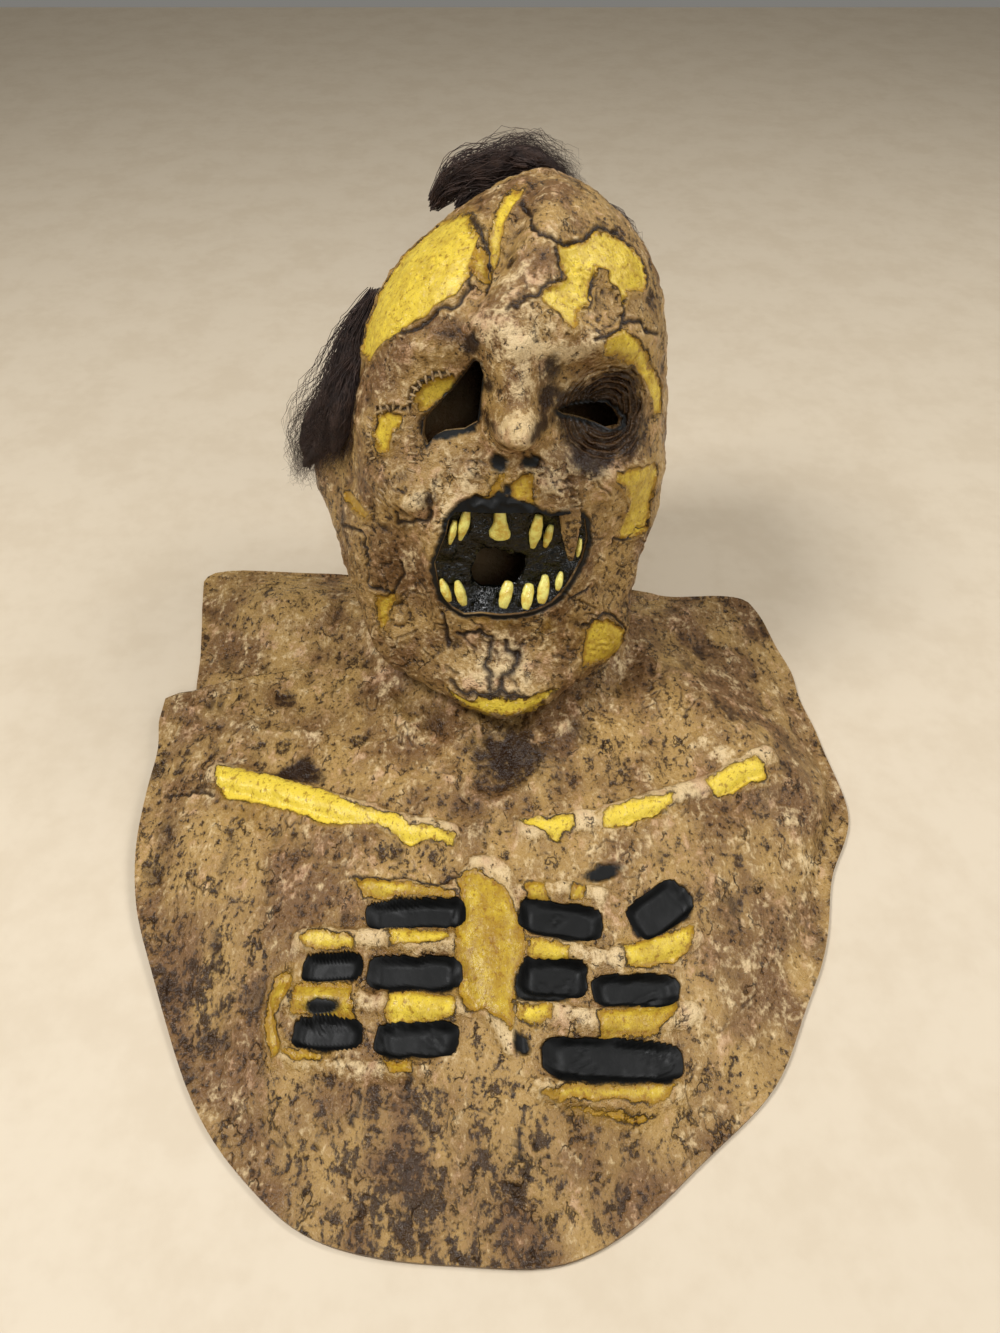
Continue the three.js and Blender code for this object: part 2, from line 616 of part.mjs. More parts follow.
// A manifold solid from points and faces, turned right side out.
function solid(points, faces) {
  const make = (list) =>
    new wasm.Manifold(
      new wasm.Mesh({
        numProp: 3,
        vertProperties: new Float32Array(points.flatMap((p) => [p.x, p.y, p.z])),
        triVerts: new Uint32Array(list),
      }),
    );
  const made = make(faces);
  if (made.volume() > 0) return made;
  const turned = [];
  for (let i = 0; i < faces.length; i += 3) turned.push(faces[i], faces[i + 2], faces[i + 1]);
  return make(turned);
}

// A mesh of a solid, in its own flat-shaded material.
function meshOf(name, body, material) {
  const { vertProperties, triVerts } = body.getMesh();
  const geometry = new THREE.BufferGeometry();
  geometry.setAttribute("position", new THREE.BufferAttribute(new Float32Array(vertProperties), 3));
  geometry.setIndex(new THREE.BufferAttribute(new Uint32Array(triVerts), 1));
  geometry.computeVertexNormals();
  const mesh = new THREE.Mesh(geometry, material);
  mesh.name = name;
  return mesh;
}

// The bearings of the skin's columns, closer together in front, with two at the tuck.
function skinBearings() {
  const tuck = THREE.MathUtils.degToRad(TUCK_BEARING);
  const half = THREE.MathUtils.degToRad(TUCK_WIDTH) / 2;
  const clearance = 2 * half * TUCK_CLEARANCE;
  const list = [];
  for (let i = 0; i < COLUMNS; i += 1) {
    const turn = 2 * Math.PI * ((i + 0.5) / COLUMNS - 0.5);
    list.push(turn - FRONT_DENSITY * Math.sin(turn));
  }
  const clear = list.filter((bearing) => Math.abs(bearing - tuck) > clearance);
  return [...clear, tuck - half, tuck + half].sort((a, b) => a - b);
}

// The places along the rings where the skin has its rows.
function skinRows() {
  const rows = [CROWN_START];
  HEAD_SECTIONS.forEach(({ steps }, i) => {
    for (let k = 0; k < steps; k += 1) rows.push(i + k / steps);
  });
  for (let i = HEAD_SECTIONS.length; i < RING_COUNT; i += 1) rows.push(i);
  return rows.filter((v) => v > 0);
}

// The closed wall of the skin: the outer face down to the hem, and back up the inner face.
function skinWall() {
  const bearings = skinBearings();
  const rows = skinRows();
  const face = (outside) => rows.map((v) => bearings.map((bearing) => skinPoint(v, bearing, outside)));
  const inner = face(-WALL);
  for (const ring of inner) for (const point of ring) point.z = Math.max(point.z, 0);
  return loft([...face(0), ...inner.reverse()]);
}

// The head filled in and grown by a distance, to fit against.
function filledHead(outside) {
  const bearings = skinBearings();
  const rows = skinRows().filter((v) => v <= HEAD_SECTIONS.length);
  return loft(rows.map((v) => bearings.map((bearing) => skinPoint(v, bearing, outside))));
}

// A prism through the front of the face over an outline of places across and up.
function facePrism(outline) {
  const at = (ahead) => outline.map(([across, up]) => headPlace(across, up, ahead));
  return loft([at(HEAD_DEPTH * FACE_BEHIND), at(HEAD_DEPTH)]);
}

// An eye hole's cutter.
function eyeHole(corners) {
  return facePrism(corners.map((c) => [c.across * HEAD_WIDTH, c.up * HEAD_HEIGHT]));
}

// A place across and up on the face, from shares of the mouth's width and height.
function mouthPlace(across, up) {
  return [MOUTH.across * HEAD_WIDTH + across * MOUTH_WIDTH, MOUTH.up * HEAD_HEIGHT + up * MOUTH_HEIGHT];
}

// The gum's face or back: one ring of points for each row of its profile.
function gumFace(behind) {
  return GUM_PROFILE.map((row) =>
    MOUTH_EDGE.map((corner) => {
      const [across, up] = mouthPlace(corner.across * row.ring + row.aside, corner.up * row.ring - row.drop);
      return facePoint(across, up).addScaledVector(AHEAD, -row.sunk * GUM_DEPTH - behind);
    }),
  );
}

// The gum: a funnel from the lips to the throat hole, as thick as the skin.
function gumWall() {
  return loft([...gumFace(0), ...gumFace(WALL).reverse()], false);
}

// How deep the gum lies at shares of the mouth's width and height from its middle.
function gumSunk(across, up) {
  const reach = MOUTH_EDGE.reduce((best, corner) => {
    const size = Math.hypot(corner.across, corner.up);
    const facing = (corner.across * across + corner.up * up) / size / Math.hypot(across, up);
    return facing > best.facing ? { facing, size } : best;
  }, { facing: -1, size: 1 });
  const ring = Math.hypot(across, up) / reach.size;
  const next = Math.max(GUM_PROFILE.findIndex((row) => row.ring <= ring), 1);
  const [before, after] = [GUM_PROFILE[next - 1], GUM_PROFILE[next]];
  const way = (before.ring - ring) / (before.ring - after.ring);
  return THREE.MathUtils.lerp(before.sunk, after.sunk, way) * GUM_DEPTH;
}

// A closed strip through stations on the face, each with a middle, half width and half height.
function stripBody(stations, count) {
  const rings = stations.map((station, i) => {
    const before = stations[Math.max(i - 1, 0)].point;
    const after = stations[Math.min(i + 1, stations.length - 1)].point;
    const along = after.clone().sub(before).normalize();
    const side = new THREE.Vector3().crossVectors(along, AHEAD).normalize();
    const out = new THREE.Vector3().crossVectors(side, along).normalize();
    return Array.from({ length: count }, (_, k) => {
      const angle = (2 * Math.PI * k) / count;
      const point = station.point.clone().addScaledVector(side, Math.cos(angle) * station.half);
      return point.addScaledVector(out, Math.sin(angle) * station.thick);
    });
  });
  return loft(rings);
}

// A tooth lying along the gum, grown by a distance for its seat.
function toothBody(tooth, grown = 0) {
  const [root, tip] = [tooth.root, tooth.tip].map(([across, up]) => {
    const sunk = gumSunk(across, up) - TOOTH_THICKNESS * TOOTH_BEDDING;
    return facePoint(...mouthPlace(across, up)).addScaledVector(AHEAD, -sunk);
  });
  const along = tip.clone().sub(root).normalize();
  root.addScaledVector(along, -grown);
  tip.addScaledVector(along, grown);
  const stations = TOOTH_PROFILE.map((row) => {
    const size = row.size * (row.flares ? tooth.flare : 1);
    return {
      point: root.clone().lerp(tip, row.share),
      half: (size * tooth.width * MOUTH_WIDTH) / 2 + grown,
      thick: (Math.min(size, 1) * TOOTH_THICKNESS) / 2 + grown,
    };
  });
  return stripBody(stations, TOOTH_SIDES);
}

// The hanging tongue of lip.
function lipFlap() {
  const stations = LIP_FLAP.map((row) => ({
    point: facePoint(...mouthPlace(row.across, row.up)).addScaledVector(AHEAD, -WALL * LIP_SUNK),
    half: row.half * MOUTH_WIDTH,
    thick: WALL * LIP_THICKNESS,
  }));
  return stripBody(stations, LIP_SIDES);
}

// The height of the bib's top at a place in plan.
function bibTop(x, y) {
  const bearing = Math.atan2(x, -y);
  const inner = neckPoint(NECK_RINGS.at(-1), bearing);
  const start = Math.hypot(inner.x, inner.y);
  const share = (Math.hypot(x, y) - start) / (hemReach(bearing) - start);
  return bibPoint(THREE.MathUtils.clamp(share, 0, 1), bearing).z;
}

// A rounded bone standing on the bib along stations of middle, half width and height.
function boneBody(stations) {
  const rings = stations.map((station, i) => {
    const before = stations[Math.max(i - 1, 0)];
    const after = stations[Math.min(i + 1, stations.length - 1)];
    const along = new THREE.Vector2(after.x - before.x, after.y - before.y).normalize();
    const floor = bibTop(station.x, station.y);
    return BONE_PROFILE.map(({ beside, up }) => {
      const x = station.x - along.y * beside * station.half;
      const y = station.y + along.x * beside * station.half;
      return new THREE.Vector3(x, y, floor + (up > 0 ? up * station.height : -BONE_FOOT * WALL));
    });
  });
  return loft(rings);
}

// The breastbone, the ribs and the collarbones.
function chestBones() {
  const sternum = STERNUM.map((row) => ({
    x: row.x * BIB_REACH,
    y: row.y * BIB_REACH,
    half: row.half * BIB_REACH,
    height: STERNUM_HEIGHT,
  }));
  const bones = BONES.map((bone) => {
    const tall = bone.name.startsWith("clavicle") ? CLAVICLE_HEIGHT : RIB_HEIGHT;
    return bone.line.map(([x, y], i) => ({
      x: x * BIB_REACH,
      y: y * BIB_REACH,
      half: (bone.breadth * RIB_BREADTH * (i % (bone.line.length - 1) ? 1 : BONE_END)) / 2,
      height: tall * bone.height,
    }));
  });
  return [sternum, ...bones].map(boneBody);
}

// A pocket's prism, grown sideways by a distance, between two heights.
function pocketPrism(pocket, grown, low, high) {
  const turn = THREE.MathUtils.degToRad(pocket.turn);
  const outline = Array.from({ length: POCKET_CORNERS }, (_, i) => {
    const angle = (2 * Math.PI * (i + 0.5)) / POCKET_CORNERS;
    const along = boxed(Math.cos(angle), POCKET_POWER) * ((pocket.length * BIB_REACH) / 2 + grown);
    const beside = boxed(Math.sin(angle), POCKET_POWER) * ((pocket.breadth * BIB_REACH) / 2 + grown);
    return [
      pocket.x * BIB_REACH + along * Math.cos(turn) - beside * Math.sin(turn),
      pocket.y * BIB_REACH + along * Math.sin(turn) + beside * Math.cos(turn),
    ];
  });
  return loft([low, high].map((z) => outline.map(([x, y]) => new THREE.Vector3(x, y, z))));
}

// The skin with its bones, pockets, gum, eye holes and the teeth's seats.
function latexSkin() {
  let skin = skinWall();
  for (const bone of chestBones()) skin = skin.add(bone);
  for (const pocket of POCKETS) {
    const top = bibTop(pocket.x * BIB_REACH, pocket.y * BIB_REACH);
    const floor = Math.max(top - POCKET_DEPTH, POCKET_LOWEST * WALL);
    skin = skin.add(pocketPrism(pocket, WALL, floor - WALL, top - WALL / 2));
    skin = skin.subtract(pocketPrism(pocket, 0, floor, top + POCKET_CLEARANCE));
  }
  skin = skin.subtract(facePrism(MOUTH_EDGE.map((corner) => mouthPlace(corner.across, corner.up))));
  skin = skin.add(gumWall()).add(lipFlap());
  skin = skin.subtract(eyeHole(EYE_LEFT)).subtract(eyeHole(EYE_RIGHT));
  for (const tooth of TEETH) skin = skin.subtract(toothBody(tooth, SEAT_GAP));
  return skin;
}

// One lock of hair: a tapered strip along a curve through points of the head.
function lockBody(places, width, thickness) {
  const curve = new THREE.CatmullRomCurve3(places);
  const rings = Array.from({ length: LOCK_ROWS }, (_, i) => {
    const t = i / (LOCK_ROWS - 1);
    const point = curve.getPoint(t);
    const along = curve.getTangent(t);
    const side = new THREE.Vector3().crossVectors(along, AHEAD).normalize();
    const out = new THREE.Vector3().crossVectors(side, along).normalize();
    const bulge = Math.sin(Math.PI * THREE.MathUtils.lerp(LOCK_ROOT, LOCK_TIP, t));
    const size = LOCK_LEAST + (1 - LOCK_LEAST) * bulge;
    return Array.from({ length: LOCK_SIDES }, (_, k) => {
      const angle = (2 * Math.PI * k) / LOCK_SIDES;
      return point
        .clone()
        .addScaledVector(side, (Math.cos(angle) * size * width) / 2)
        .addScaledVector(out, (Math.sin(angle) * size * thickness) / 2);
    });
  });
  return loft(rings);
}

// The tufts: each lock runs through places given by bearing in degrees, rise as a share of the
// head's height and stand-off as a share of the tuft's length.
const TUFTS = [
  {
    name: "hair_tuft_top",
    locks: [
      [[-112, 0.905, 0.13], [-112, 0.945, 0.17], [-138, 0.97, 0.12], [-165, 0.98, 0.13], [156, 0.94, 0.13]],
      [[-136, 0.88, 0.05], [-160, 0.92, 0.1], [172, 0.925, 0.1], [148, 0.9, 0.04]],
      [[-150, 0.99, 0.03], [-150, 0.96, 0.1], [-154, 0.91, 0.1], [-158, 0.86, 0.03]],
    ],
    width: 0.23,
    thickness: 0.17,
  },
  {
    name: "hair_tuft_left",
    locks: [
      [[-98, 0.79, 0.02], [-100, 0.7, 0.07], [-98, 0.62, 0.09], [-98, 0.54, 0.08], [-102, 0.45, 0.08]],
      [[-118, 0.76, 0.02], [-115, 0.68, 0.09], [-112, 0.6, 0.1], [-112, 0.52, 0.1], [-114, 0.44, 0.06]],
      [[-84, 0.66, 0.01], [-94, 0.64, 0.05], [-108, 0.62, 0.07], [-124, 0.6, 0.02]],
    ],
    width: 0.24,
    thickness: 0.14,
  },
  {
    name: "hair_tuft_right",
    locks: [
      [[132, 0.93, 0.01], [127, 0.9, 0.04], [122, 0.87, 0.04], [114, 0.83, 0.01]],
      [[142, 0.9, 0.01], [134, 0.875, 0.05], [127, 0.85, 0.03], [122, 0.82, 0.01]],
    ],
    width: 0.16,
    thickness: 0.1,
  },
];

// A tuft's fused locks, with their underside cut to the scalp.
function tuftBody(tuft, scalp) {
  const locks = tuft.locks.map((lock) => {
    const places = lock.map(([bearing, rise, off]) =>
      skinPoint(placeOfRise(rise), THREE.MathUtils.degToRad(bearing), off * TUFT_LENGTH),
    );
    return lockBody(places, tuft.width * TUFT_LENGTH, tuft.thickness * TUFT_LENGTH);
  });
  const pieces = locks.reduce((sum, lock) => sum.add(lock)).subtract(scalp).decompose();
  return pieces.reduce((best, piece) => (piece.volume() > best.volume() ? piece : best));
}

const LATEX = new THREE.MeshStandardMaterial({ color: "#8f7148", roughness: 0.5, metalness: 0 });
const BONE = new THREE.MeshStandardMaterial({ color: "#e6d76c", roughness: 0.35, metalness: 0 });
const HAIR = new THREE.MeshStandardMaterial({ color: "#2f2322", roughness: 0.8, metalness: 0 });

const mask = new THREE.Group();
mask.add(meshOf("latex_skin", latexSkin(), LATEX));
for (const tooth of TEETH) mask.add(meshOf(tooth.name, toothBody(tooth), BONE));
const scalp = filledHead(SEAT_GAP);
for (const tuft of TUFTS) mask.add(meshOf(tuft.name, tuftBody(tuft, scalp), HAIR));

const bounds = new THREE.Box3().setFromObject(mask);
const middle = bounds.getCenter(new THREE.Vector3());
mask.position.set(-middle.x, -middle.y, -bounds.min.z);

export default mask;
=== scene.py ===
"""An over-the-head latex zombie mask with a chest bib, lying on a table.

The mask's smooth surface is worked out from the same level sections, neck rings and hem as its
solid model. Sculpted relief is added on top, and the painted marks are distances on the surface.
Lengths are millimetres from the middle of the neck, and turn into the frame's metres at the end.
"""

import logging
import math
from dataclasses import dataclass, field
from enum import Enum

import bpy
import numpy as np
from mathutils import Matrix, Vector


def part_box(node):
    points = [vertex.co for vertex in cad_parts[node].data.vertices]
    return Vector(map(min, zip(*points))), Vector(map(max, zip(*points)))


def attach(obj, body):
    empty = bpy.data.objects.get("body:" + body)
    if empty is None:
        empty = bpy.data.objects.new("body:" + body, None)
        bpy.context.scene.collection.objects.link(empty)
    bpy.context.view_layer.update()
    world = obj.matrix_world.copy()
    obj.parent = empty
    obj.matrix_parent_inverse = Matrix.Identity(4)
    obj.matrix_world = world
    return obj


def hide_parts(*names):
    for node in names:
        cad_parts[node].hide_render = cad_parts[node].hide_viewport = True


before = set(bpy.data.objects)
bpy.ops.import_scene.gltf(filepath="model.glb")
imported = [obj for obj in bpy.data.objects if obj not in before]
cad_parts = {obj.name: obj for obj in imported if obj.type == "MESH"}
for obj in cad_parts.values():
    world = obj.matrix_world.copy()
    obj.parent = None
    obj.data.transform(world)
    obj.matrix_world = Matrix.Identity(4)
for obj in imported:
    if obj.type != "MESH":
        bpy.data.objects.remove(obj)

Array = np.ndarray
Socket = bpy.types.NodeSocket

log = logging.getLogger("zombie_mask")
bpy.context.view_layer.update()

METRES = 0.001
SKIN_NODE = "latex_skin"


@dataclass(frozen=True)
class HeadSize:
    """Driving dimensions of the head, in millimetres and degrees."""

    height: float = 291
    width: float = 175
    depth: float = 187
    lean: float = 17
    chin_back: float = 14
    chin_rise: float = 20


@dataclass(frozen=True)
class BibSize:
    """Driving dimensions of the neck and the bib, in millimetres and degrees."""

    neck_width: float = 180
    neck_depth: float = 140
    neck_rise: float = 34
    reach: float = 378
    crown: float = 14
    hem_share: float = 0.06
    tuck_bearing: float = -77.7
    tuck_lift: float = 9
    tuck_spread: float = 55
    wall: float = 2.5


HEAD = HeadSize()
BIB = BibSize()

# Level sections, crown first: rise, side, half width, front, behind, power.
HEAD_SECTIONS = np.array([
    (1.0, 0.13, 0, 0, 0, 2),
    (0.985, 0.13, 0.19, 0.22, 0.28, 2),
    (0.955, 0.125, 0.38, 0.42, 0.5, 2),
    (0.905, 0.105, 0.6, 0.62, 0.72, 2),
    (0.835, 0.08, 0.82, 0.78, 0.9, 2.1),
    (0.75, 0.055, 0.95, 0.88, 1.0, 2.2),
    (0.65, 0.04, 1.01, 0.91, 1.04, 2.3),
    (0.545, 0.02, 1.02, 0.88, 1.02, 2.3),
    (0.44, 0, 1.02, 0.86, 0.96, 2.3),
    (0.34, -0.02, 1.01, 0.84, 0.88, 2.3),
    (0.24, -0.02, 0.99, 0.8, 0.78, 2.3),
    (0.15, -0.01, 0.97, 0.74, 0.7, 2.3),
    (0.07, 0, 0.94, 0.62, 0.64, 2.3),
])

# Neck rings: back, high, beside, low, half width, front, behind.
NECK_RINGS = np.array([
    (-0.09, 1.18, 0.88, 0.47, 0.89, 0.77, 0.86),
    (-0.06, 1.0, 0.59, 0.24, 1.0, 1.11, 0.89),
])

# Rings of the bib as shares of the way from the neck to the hem.
BIB_RINGS = (0.12, 0.3, 0.5, 0.7, 0.86, 1 - BIB.hem_share, 1)

# The hem seen from above: bearing in degrees, reach as a share of the bib's reach.
HEM = np.array([
    (-180, 0.27), (-150, 0.28), (-130, 0.34), (-120, 0.46), (-112, 0.64), (-106, 0.6),
    (-90, 0.55), (-78.4, 0.548), (-77, 0.595), (-66, 0.622), (-58, 0.661), (-51, 0.714),
    (-40, 0.783), (-29, 0.868), (-21, 0.944), (-14, 0.995), (-7, 1.003), (4, 1.0),
    (10, 0.968), (17, 0.913), (25, 0.865), (31, 0.804), (40, 0.738), (46, 0.696),
    (57, 0.661), (67, 0.587), (78, 0.542), (89, 0.516), (109, 0.505), (115, 0.36),
    (130, 0.3), (150, 0.28), (180, 0.27),
])

# Swellings and hollows of the head: bearing, up, width, height, turn, depth.
HEAD_FORMS = np.array([
    (1.5, 0.605, 0.072, 0.036, 0, 0.135),
    (-1, 0.69, 0.08, 0.1, 5, 0.085),
    (0, 0.785, 0.15, 0.035, 0, 0.03),
    (28, 0.735, 0.18, 0.036, -10, 0.05),
    (-26, 0.735, 0.17, 0.036, 12, 0.03),
    (29, 0.62, 0.15, 0.08, 0, -0.08),
    (-18, 0.63, 0.13, 0.1, -30, -0.07),
    (45, 0.49, 0.16, 0.06, 0, 0.04),
    (-32, 0.455, 0.08, 0.045, 0, 0.05),
    (-52, 0.54, 0.13, 0.1, 0, 0.035),
    (2, 0.36, 0.32, 0.16, 0, 0.055),
    (-32, 0.27, 0.08, 0.14, -6, -0.05),
    (48, 0.3, 0.12, 0.1, 0, -0.03),
    (1, 0.052, 0.24, 0.058, 0, 0.19),
    (50, 0.12, 0.13, 0.06, 0, 0.035),
    (-44, 0.1, 0.16, 0.07, 0, 0.05),
    (-17, 0.86, 0.045, 0.11, -18, -0.05),
    (5, 0.88, 0.06, 0.09, -14, 0.03),
    (-99, 0.42, 0.15, 0.13, 0, 0.15),
    (-84, 0.25, 0.2, 0.12, 0, 0.04),
    (84, 0.38, 0.2, 0.15, 0, 0.055),
    (98, 0.52, 0.12, 0.11, 0, 0.05),
])

# Swells of the bib in shares of its reach: x, y, length, breadth, turn in degrees, rise.
BIB_FORMS = np.array([
    (0.4, -0.26, 0.24, 0.08, -52, 0.04),
    (-0.42, 0.1, 0.14, 0.07, 8, 0.018),
    (-0.02, -0.37, 0.05, 0.06, 0, -0.02),
    (-0.34, -0.46, 0.17, 0.13, 0, 0.015),
    (0.33, -0.46, 0.17, 0.13, 0, 0.015),
    (0.02, -0.87, 0.1, 0.035, 84, 0.012),
])


def unit(vectors: Array) -> Array:
    """Scales vectors to length one."""
    return vectors / (np.linalg.norm(vectors, axis=-1, keepdims=True) + 1e-12)


def smooth(value: Array, low: float, high: float) -> Array:
    """A smooth step from 0 at low to 1 at high."""
    t = np.clip((value - low) / (high - low), 0, 1)
    return t * t * (3 - 2 * t)


def rounded(turn: Array, power: float) -> Array:
    """Sine or cosine values of a boxy circle, from those of a round one."""
    return np.sign(turn) * np.abs(turn) ** (2 / power)


def lengths(points: Array) -> Array:
    """Distances along a line of points, from its start."""
    return np.concatenate([[0], np.cumsum(np.linalg.norm(np.diff(points, axis=0), axis=1))])


def bump(along: Array, beside: Array, length: float, breadth: float,
         turn: float = 0) -> Array:
    """One round bump, 1 at its middle.

    Args:
        along: Distances along the first axis.
        beside: Distances along the second axis.
        length: Size along the turned first axis.
        breadth: Size along the turned second axis.
        turn: Turn of the bump in degrees.

    Returns:
        The bump's height at each place.
    """
    a = math.radians(turn)
    u = (along * math.cos(a) + beside * math.sin(a)) / length
    w = (-along * math.sin(a) + beside * math.cos(a)) / breadth
    return np.exp(-u * u - w * w)


def lattice_noise(points: Array, size: float, seed: int) -> Array:
    """Smooth noise between -1 and 1 that is the same wherever a piece is cut.

    Args:
        points: Places in millimetres.
        size: Width of one noise cell in millimetres.
        seed: Which noise this is.

    Returns:
        One value for each place.
    """
    q = points / size + 37.0
    cell = np.floor(q).astype(np.int64)
    t = q - cell
    t = t * t * (3 - 2 * t)
    total = np.zeros(q.shape[:-1])
    for corner in range(8):
        step = np.array([corner & 1, corner >> 1 & 1, corner >> 2 & 1])
        c = (cell + step) & 0xFFFF
        h = (c[..., 0] * 73856093) ^ (c[..., 1] * 19349663) ^ (c[..., 2] * 83492791) ^ (seed * 2654435)
        h = (h ^ (h >> 13)) * 1274126177 & 0xFFFFFFFF
        h = (h ^ (h >> 16)) & 0xFFFF
        total += (h / 32767.5 - 1) * np.prod(np.where(step, t, 1 - t), axis=-1)
    return total


def mouth_and_eyes() -> list[tuple[Array, float]]:
    """Outlines of the openings in millimetres across and up the head, and their black margins.

    Returns:
        Corners and margins of the mouth and both eyes.
    """
    scale = np.array([HEAD.width, HEAD.height])
    mouth = np.array([MOUTH.across, MOUTH.up]) * scale + MOUTH_EDGE * np.array([MOUTH.width, MOUTH.height])
    return [(mouth, 1.8), (EYE_LEFT * scale, 0.5), (EYE_RIGHT * scale, 1.2)]


class MaskForm:
    """The mask's smooth outer surface over a place v down the rings and a bearing."""

    X = np.array([1.0, 0, 0])

    def __init__(self, head: HeadSize, bib: BibSize) -> None:
        """Works out the leaning head's axes and the middles of its forms.

        Args:
            head: Size of the head.
            bib: Size of the neck and bib.
        """
        self.head, self.bib = head, bib
        lean = math.radians(head.lean)
        self.up = np.array([0, math.sin(lean), math.cos(lean)])
        self.ahead = np.array([0, -math.cos(lean), math.sin(lean)])
        self.chin = np.array([0, -head.chin_back, head.chin_rise])
        self.sections = len(HEAD_SECTIONS)
        self.rings = self.sections + len(NECK_RINGS) + len(BIB_RINGS)
        self.forms = []
        for row in HEAD_FORMS:
            b = math.radians(row[0])
            middle = self.grid(self.place(np.array([row[1]])), np.array([b]))[0, 0]
            out = self.X * math.sin(b) + self.ahead * math.cos(b)
            side = self.X * math.cos(b) - self.ahead * math.sin(b)
            self.forms.append((row, middle, out, side))

    def section(self, row: Array, b: Array) -> Array:
        """Points of one level section of the head.

        Args:
            row: The section's row.
            b: Bearings in radians.

        Returns:
            One point for each bearing.
        """
        rise, side, half, front, behind, power = row
        across = rounded(np.sin(b), power) * half * self.head.width / 2 + side * self.head.width
        ahead = rounded(np.cos(b), power) * self.head.depth / 2
        ahead = ahead * np.where(ahead > 0, front, behind)
        level = self.chin + rise * self.head.height * self.up
        return level + across[..., None] * self.X + ahead[..., None] * self.ahead

    def neck(self, row: Array, b: Array) -> Array:
        """Points of one ring of the neck.

        Args:
            row: The ring's row.
            b: Bearings in radians.

        Returns:
            One point for each bearing.
        """
        back, high, beside, low, half, front, behind = row
        c = np.cos(b)
        depth, end = np.where(c > 0, front, behind), np.where(c > 0, high, low)
        return np.stack([
            half * self.bib.neck_width / 2 * np.sin(b),
            (back - depth * c) * self.bib.neck_depth / 2,
            (beside + (end - beside) * c * c) * self.bib.neck_rise,
        ], -1)

    def hem(self, b: Array) -> Array:
        """Distance of the hem from the neck's middle, for bearings in radians.

        Args:
            b: Bearings in radians.

        Returns:
            Distances in millimetres.
        """
        under_tuck = 360 + HEM[HEM[:, 0] < self.bib.tuck_bearing, 0].max()
        degrees = (np.minimum(np.degrees(b), under_tuck) + 180) % 360 - 180
        sharp = np.interp(degrees, HEM[:, 0], HEM[:, 1])
        turns = (-2.5, -1, 0, 1, 2.5)
        soft = sum(np.interp(degrees + turn, HEM[:, 0], HEM[:, 1]) for turn in turns) / len(turns)
        clear = smooth(np.abs(degrees - self.bib.tuck_bearing), 3, 7)
        wave = 0.004 * np.sin(degrees * 0.31) * np.sin(degrees * 0.083 + 1)
        return (sharp + (soft - sharp + wave) * clear) * self.bib.reach

    def bib_ring(self, t: float, b: Array) -> Array:
        """Points of the bib at one share of the way to the hem.

        Args:
            t: Share of the way from the neck to the hem.
            b: Bearings in radians.

        Returns:
            One point for each bearing.
        """
        size = self.bib
        inner, reach = self.neck(NECK_RINGS[-1], b), self.hem(b)
        edge = np.stack([reach * np.sin(b), -reach * np.cos(b), np.full_like(b, size.wall)], -1)
        p = inner + (edge - inner) * t
        run = min(t / (1 - size.hem_share), 1)
        facing = 0.25 + 0.75 * np.maximum(np.cos(b), 0)
        crown = size.crown * facing * max(math.sin(math.pi * run), 0) ** 0.8
        folds = sum(
            f[5] * size.reach * bump(p[..., 0] - f[0] * size.reach, p[..., 1] - f[1] * size.reach,
                                     f[2] * size.reach, f[3] * size.reach, f[4])
            for f in BIB_FORMS)
        folds = folds * smooth(np.array(1 - run), 0, 0.12)
        z = size.wall + (inner[..., 2] - size.wall) * (1 - run) ** 2.2 + crown + folds
        past = np.degrees(b) - size.tuck_bearing
        tuck = np.where(past > 0, 1 - smooth(past, 0, size.tuck_spread), 0)
        lift = size.tuck_lift * tuck * smooth(np.array(t), 0.15, 0.7)
        p[..., 2] = np.maximum(z, size.wall) + lift
        return p

    def ring(self, k: int, b: Array) -> Array:
        """Points of the ring with a number, crown first.

        Args:
            k: The ring's number.
            b: Bearings in radians.

        Returns:
            One point for each bearing.
        """
        if k < self.sections:
            return self.section(HEAD_SECTIONS[k], b)
        k -= self.sections
        if k < len(NECK_RINGS):
            return self.neck(NECK_RINGS[k], b)
        return self.bib_ring(BIB_RINGS[k - len(NECK_RINGS)], b)

    def grid(self, v: Array, b: Array) -> Array:
        """Points of the smooth curve through the rings.

        Args:
            v: Places down the rings.
            b: Bearings in radians.

        Returns:
            Points for every place and bearing.
        """
        rings = np.stack([self.ring(k, b) for k in range(self.rings)])
        i = np.clip(np.floor(v), 0, self.rings - 2).astype(int)
        t = (v - i)[:, None, None]
        above, near, far, below = (rings[np.clip(i + k, 0, self.rings - 1)] for k in (-1, 0, 1, 2))
        return (above * (-t + 2 * t * t - t ** 3) / 2 + near * (2 - 5 * t * t + 3 * t ** 3) / 2
                + far * (t + 4 * t * t - 3 * t ** 3) / 2 + below * (-t * t + t ** 3) / 2)

    def place(self, rise: Array) -> Array:
        """Place v of a rise given as a share of the head's height."""
        return np.interp(-rise, -HEAD_SECTIONS[:, 0], np.arange(self.sections))

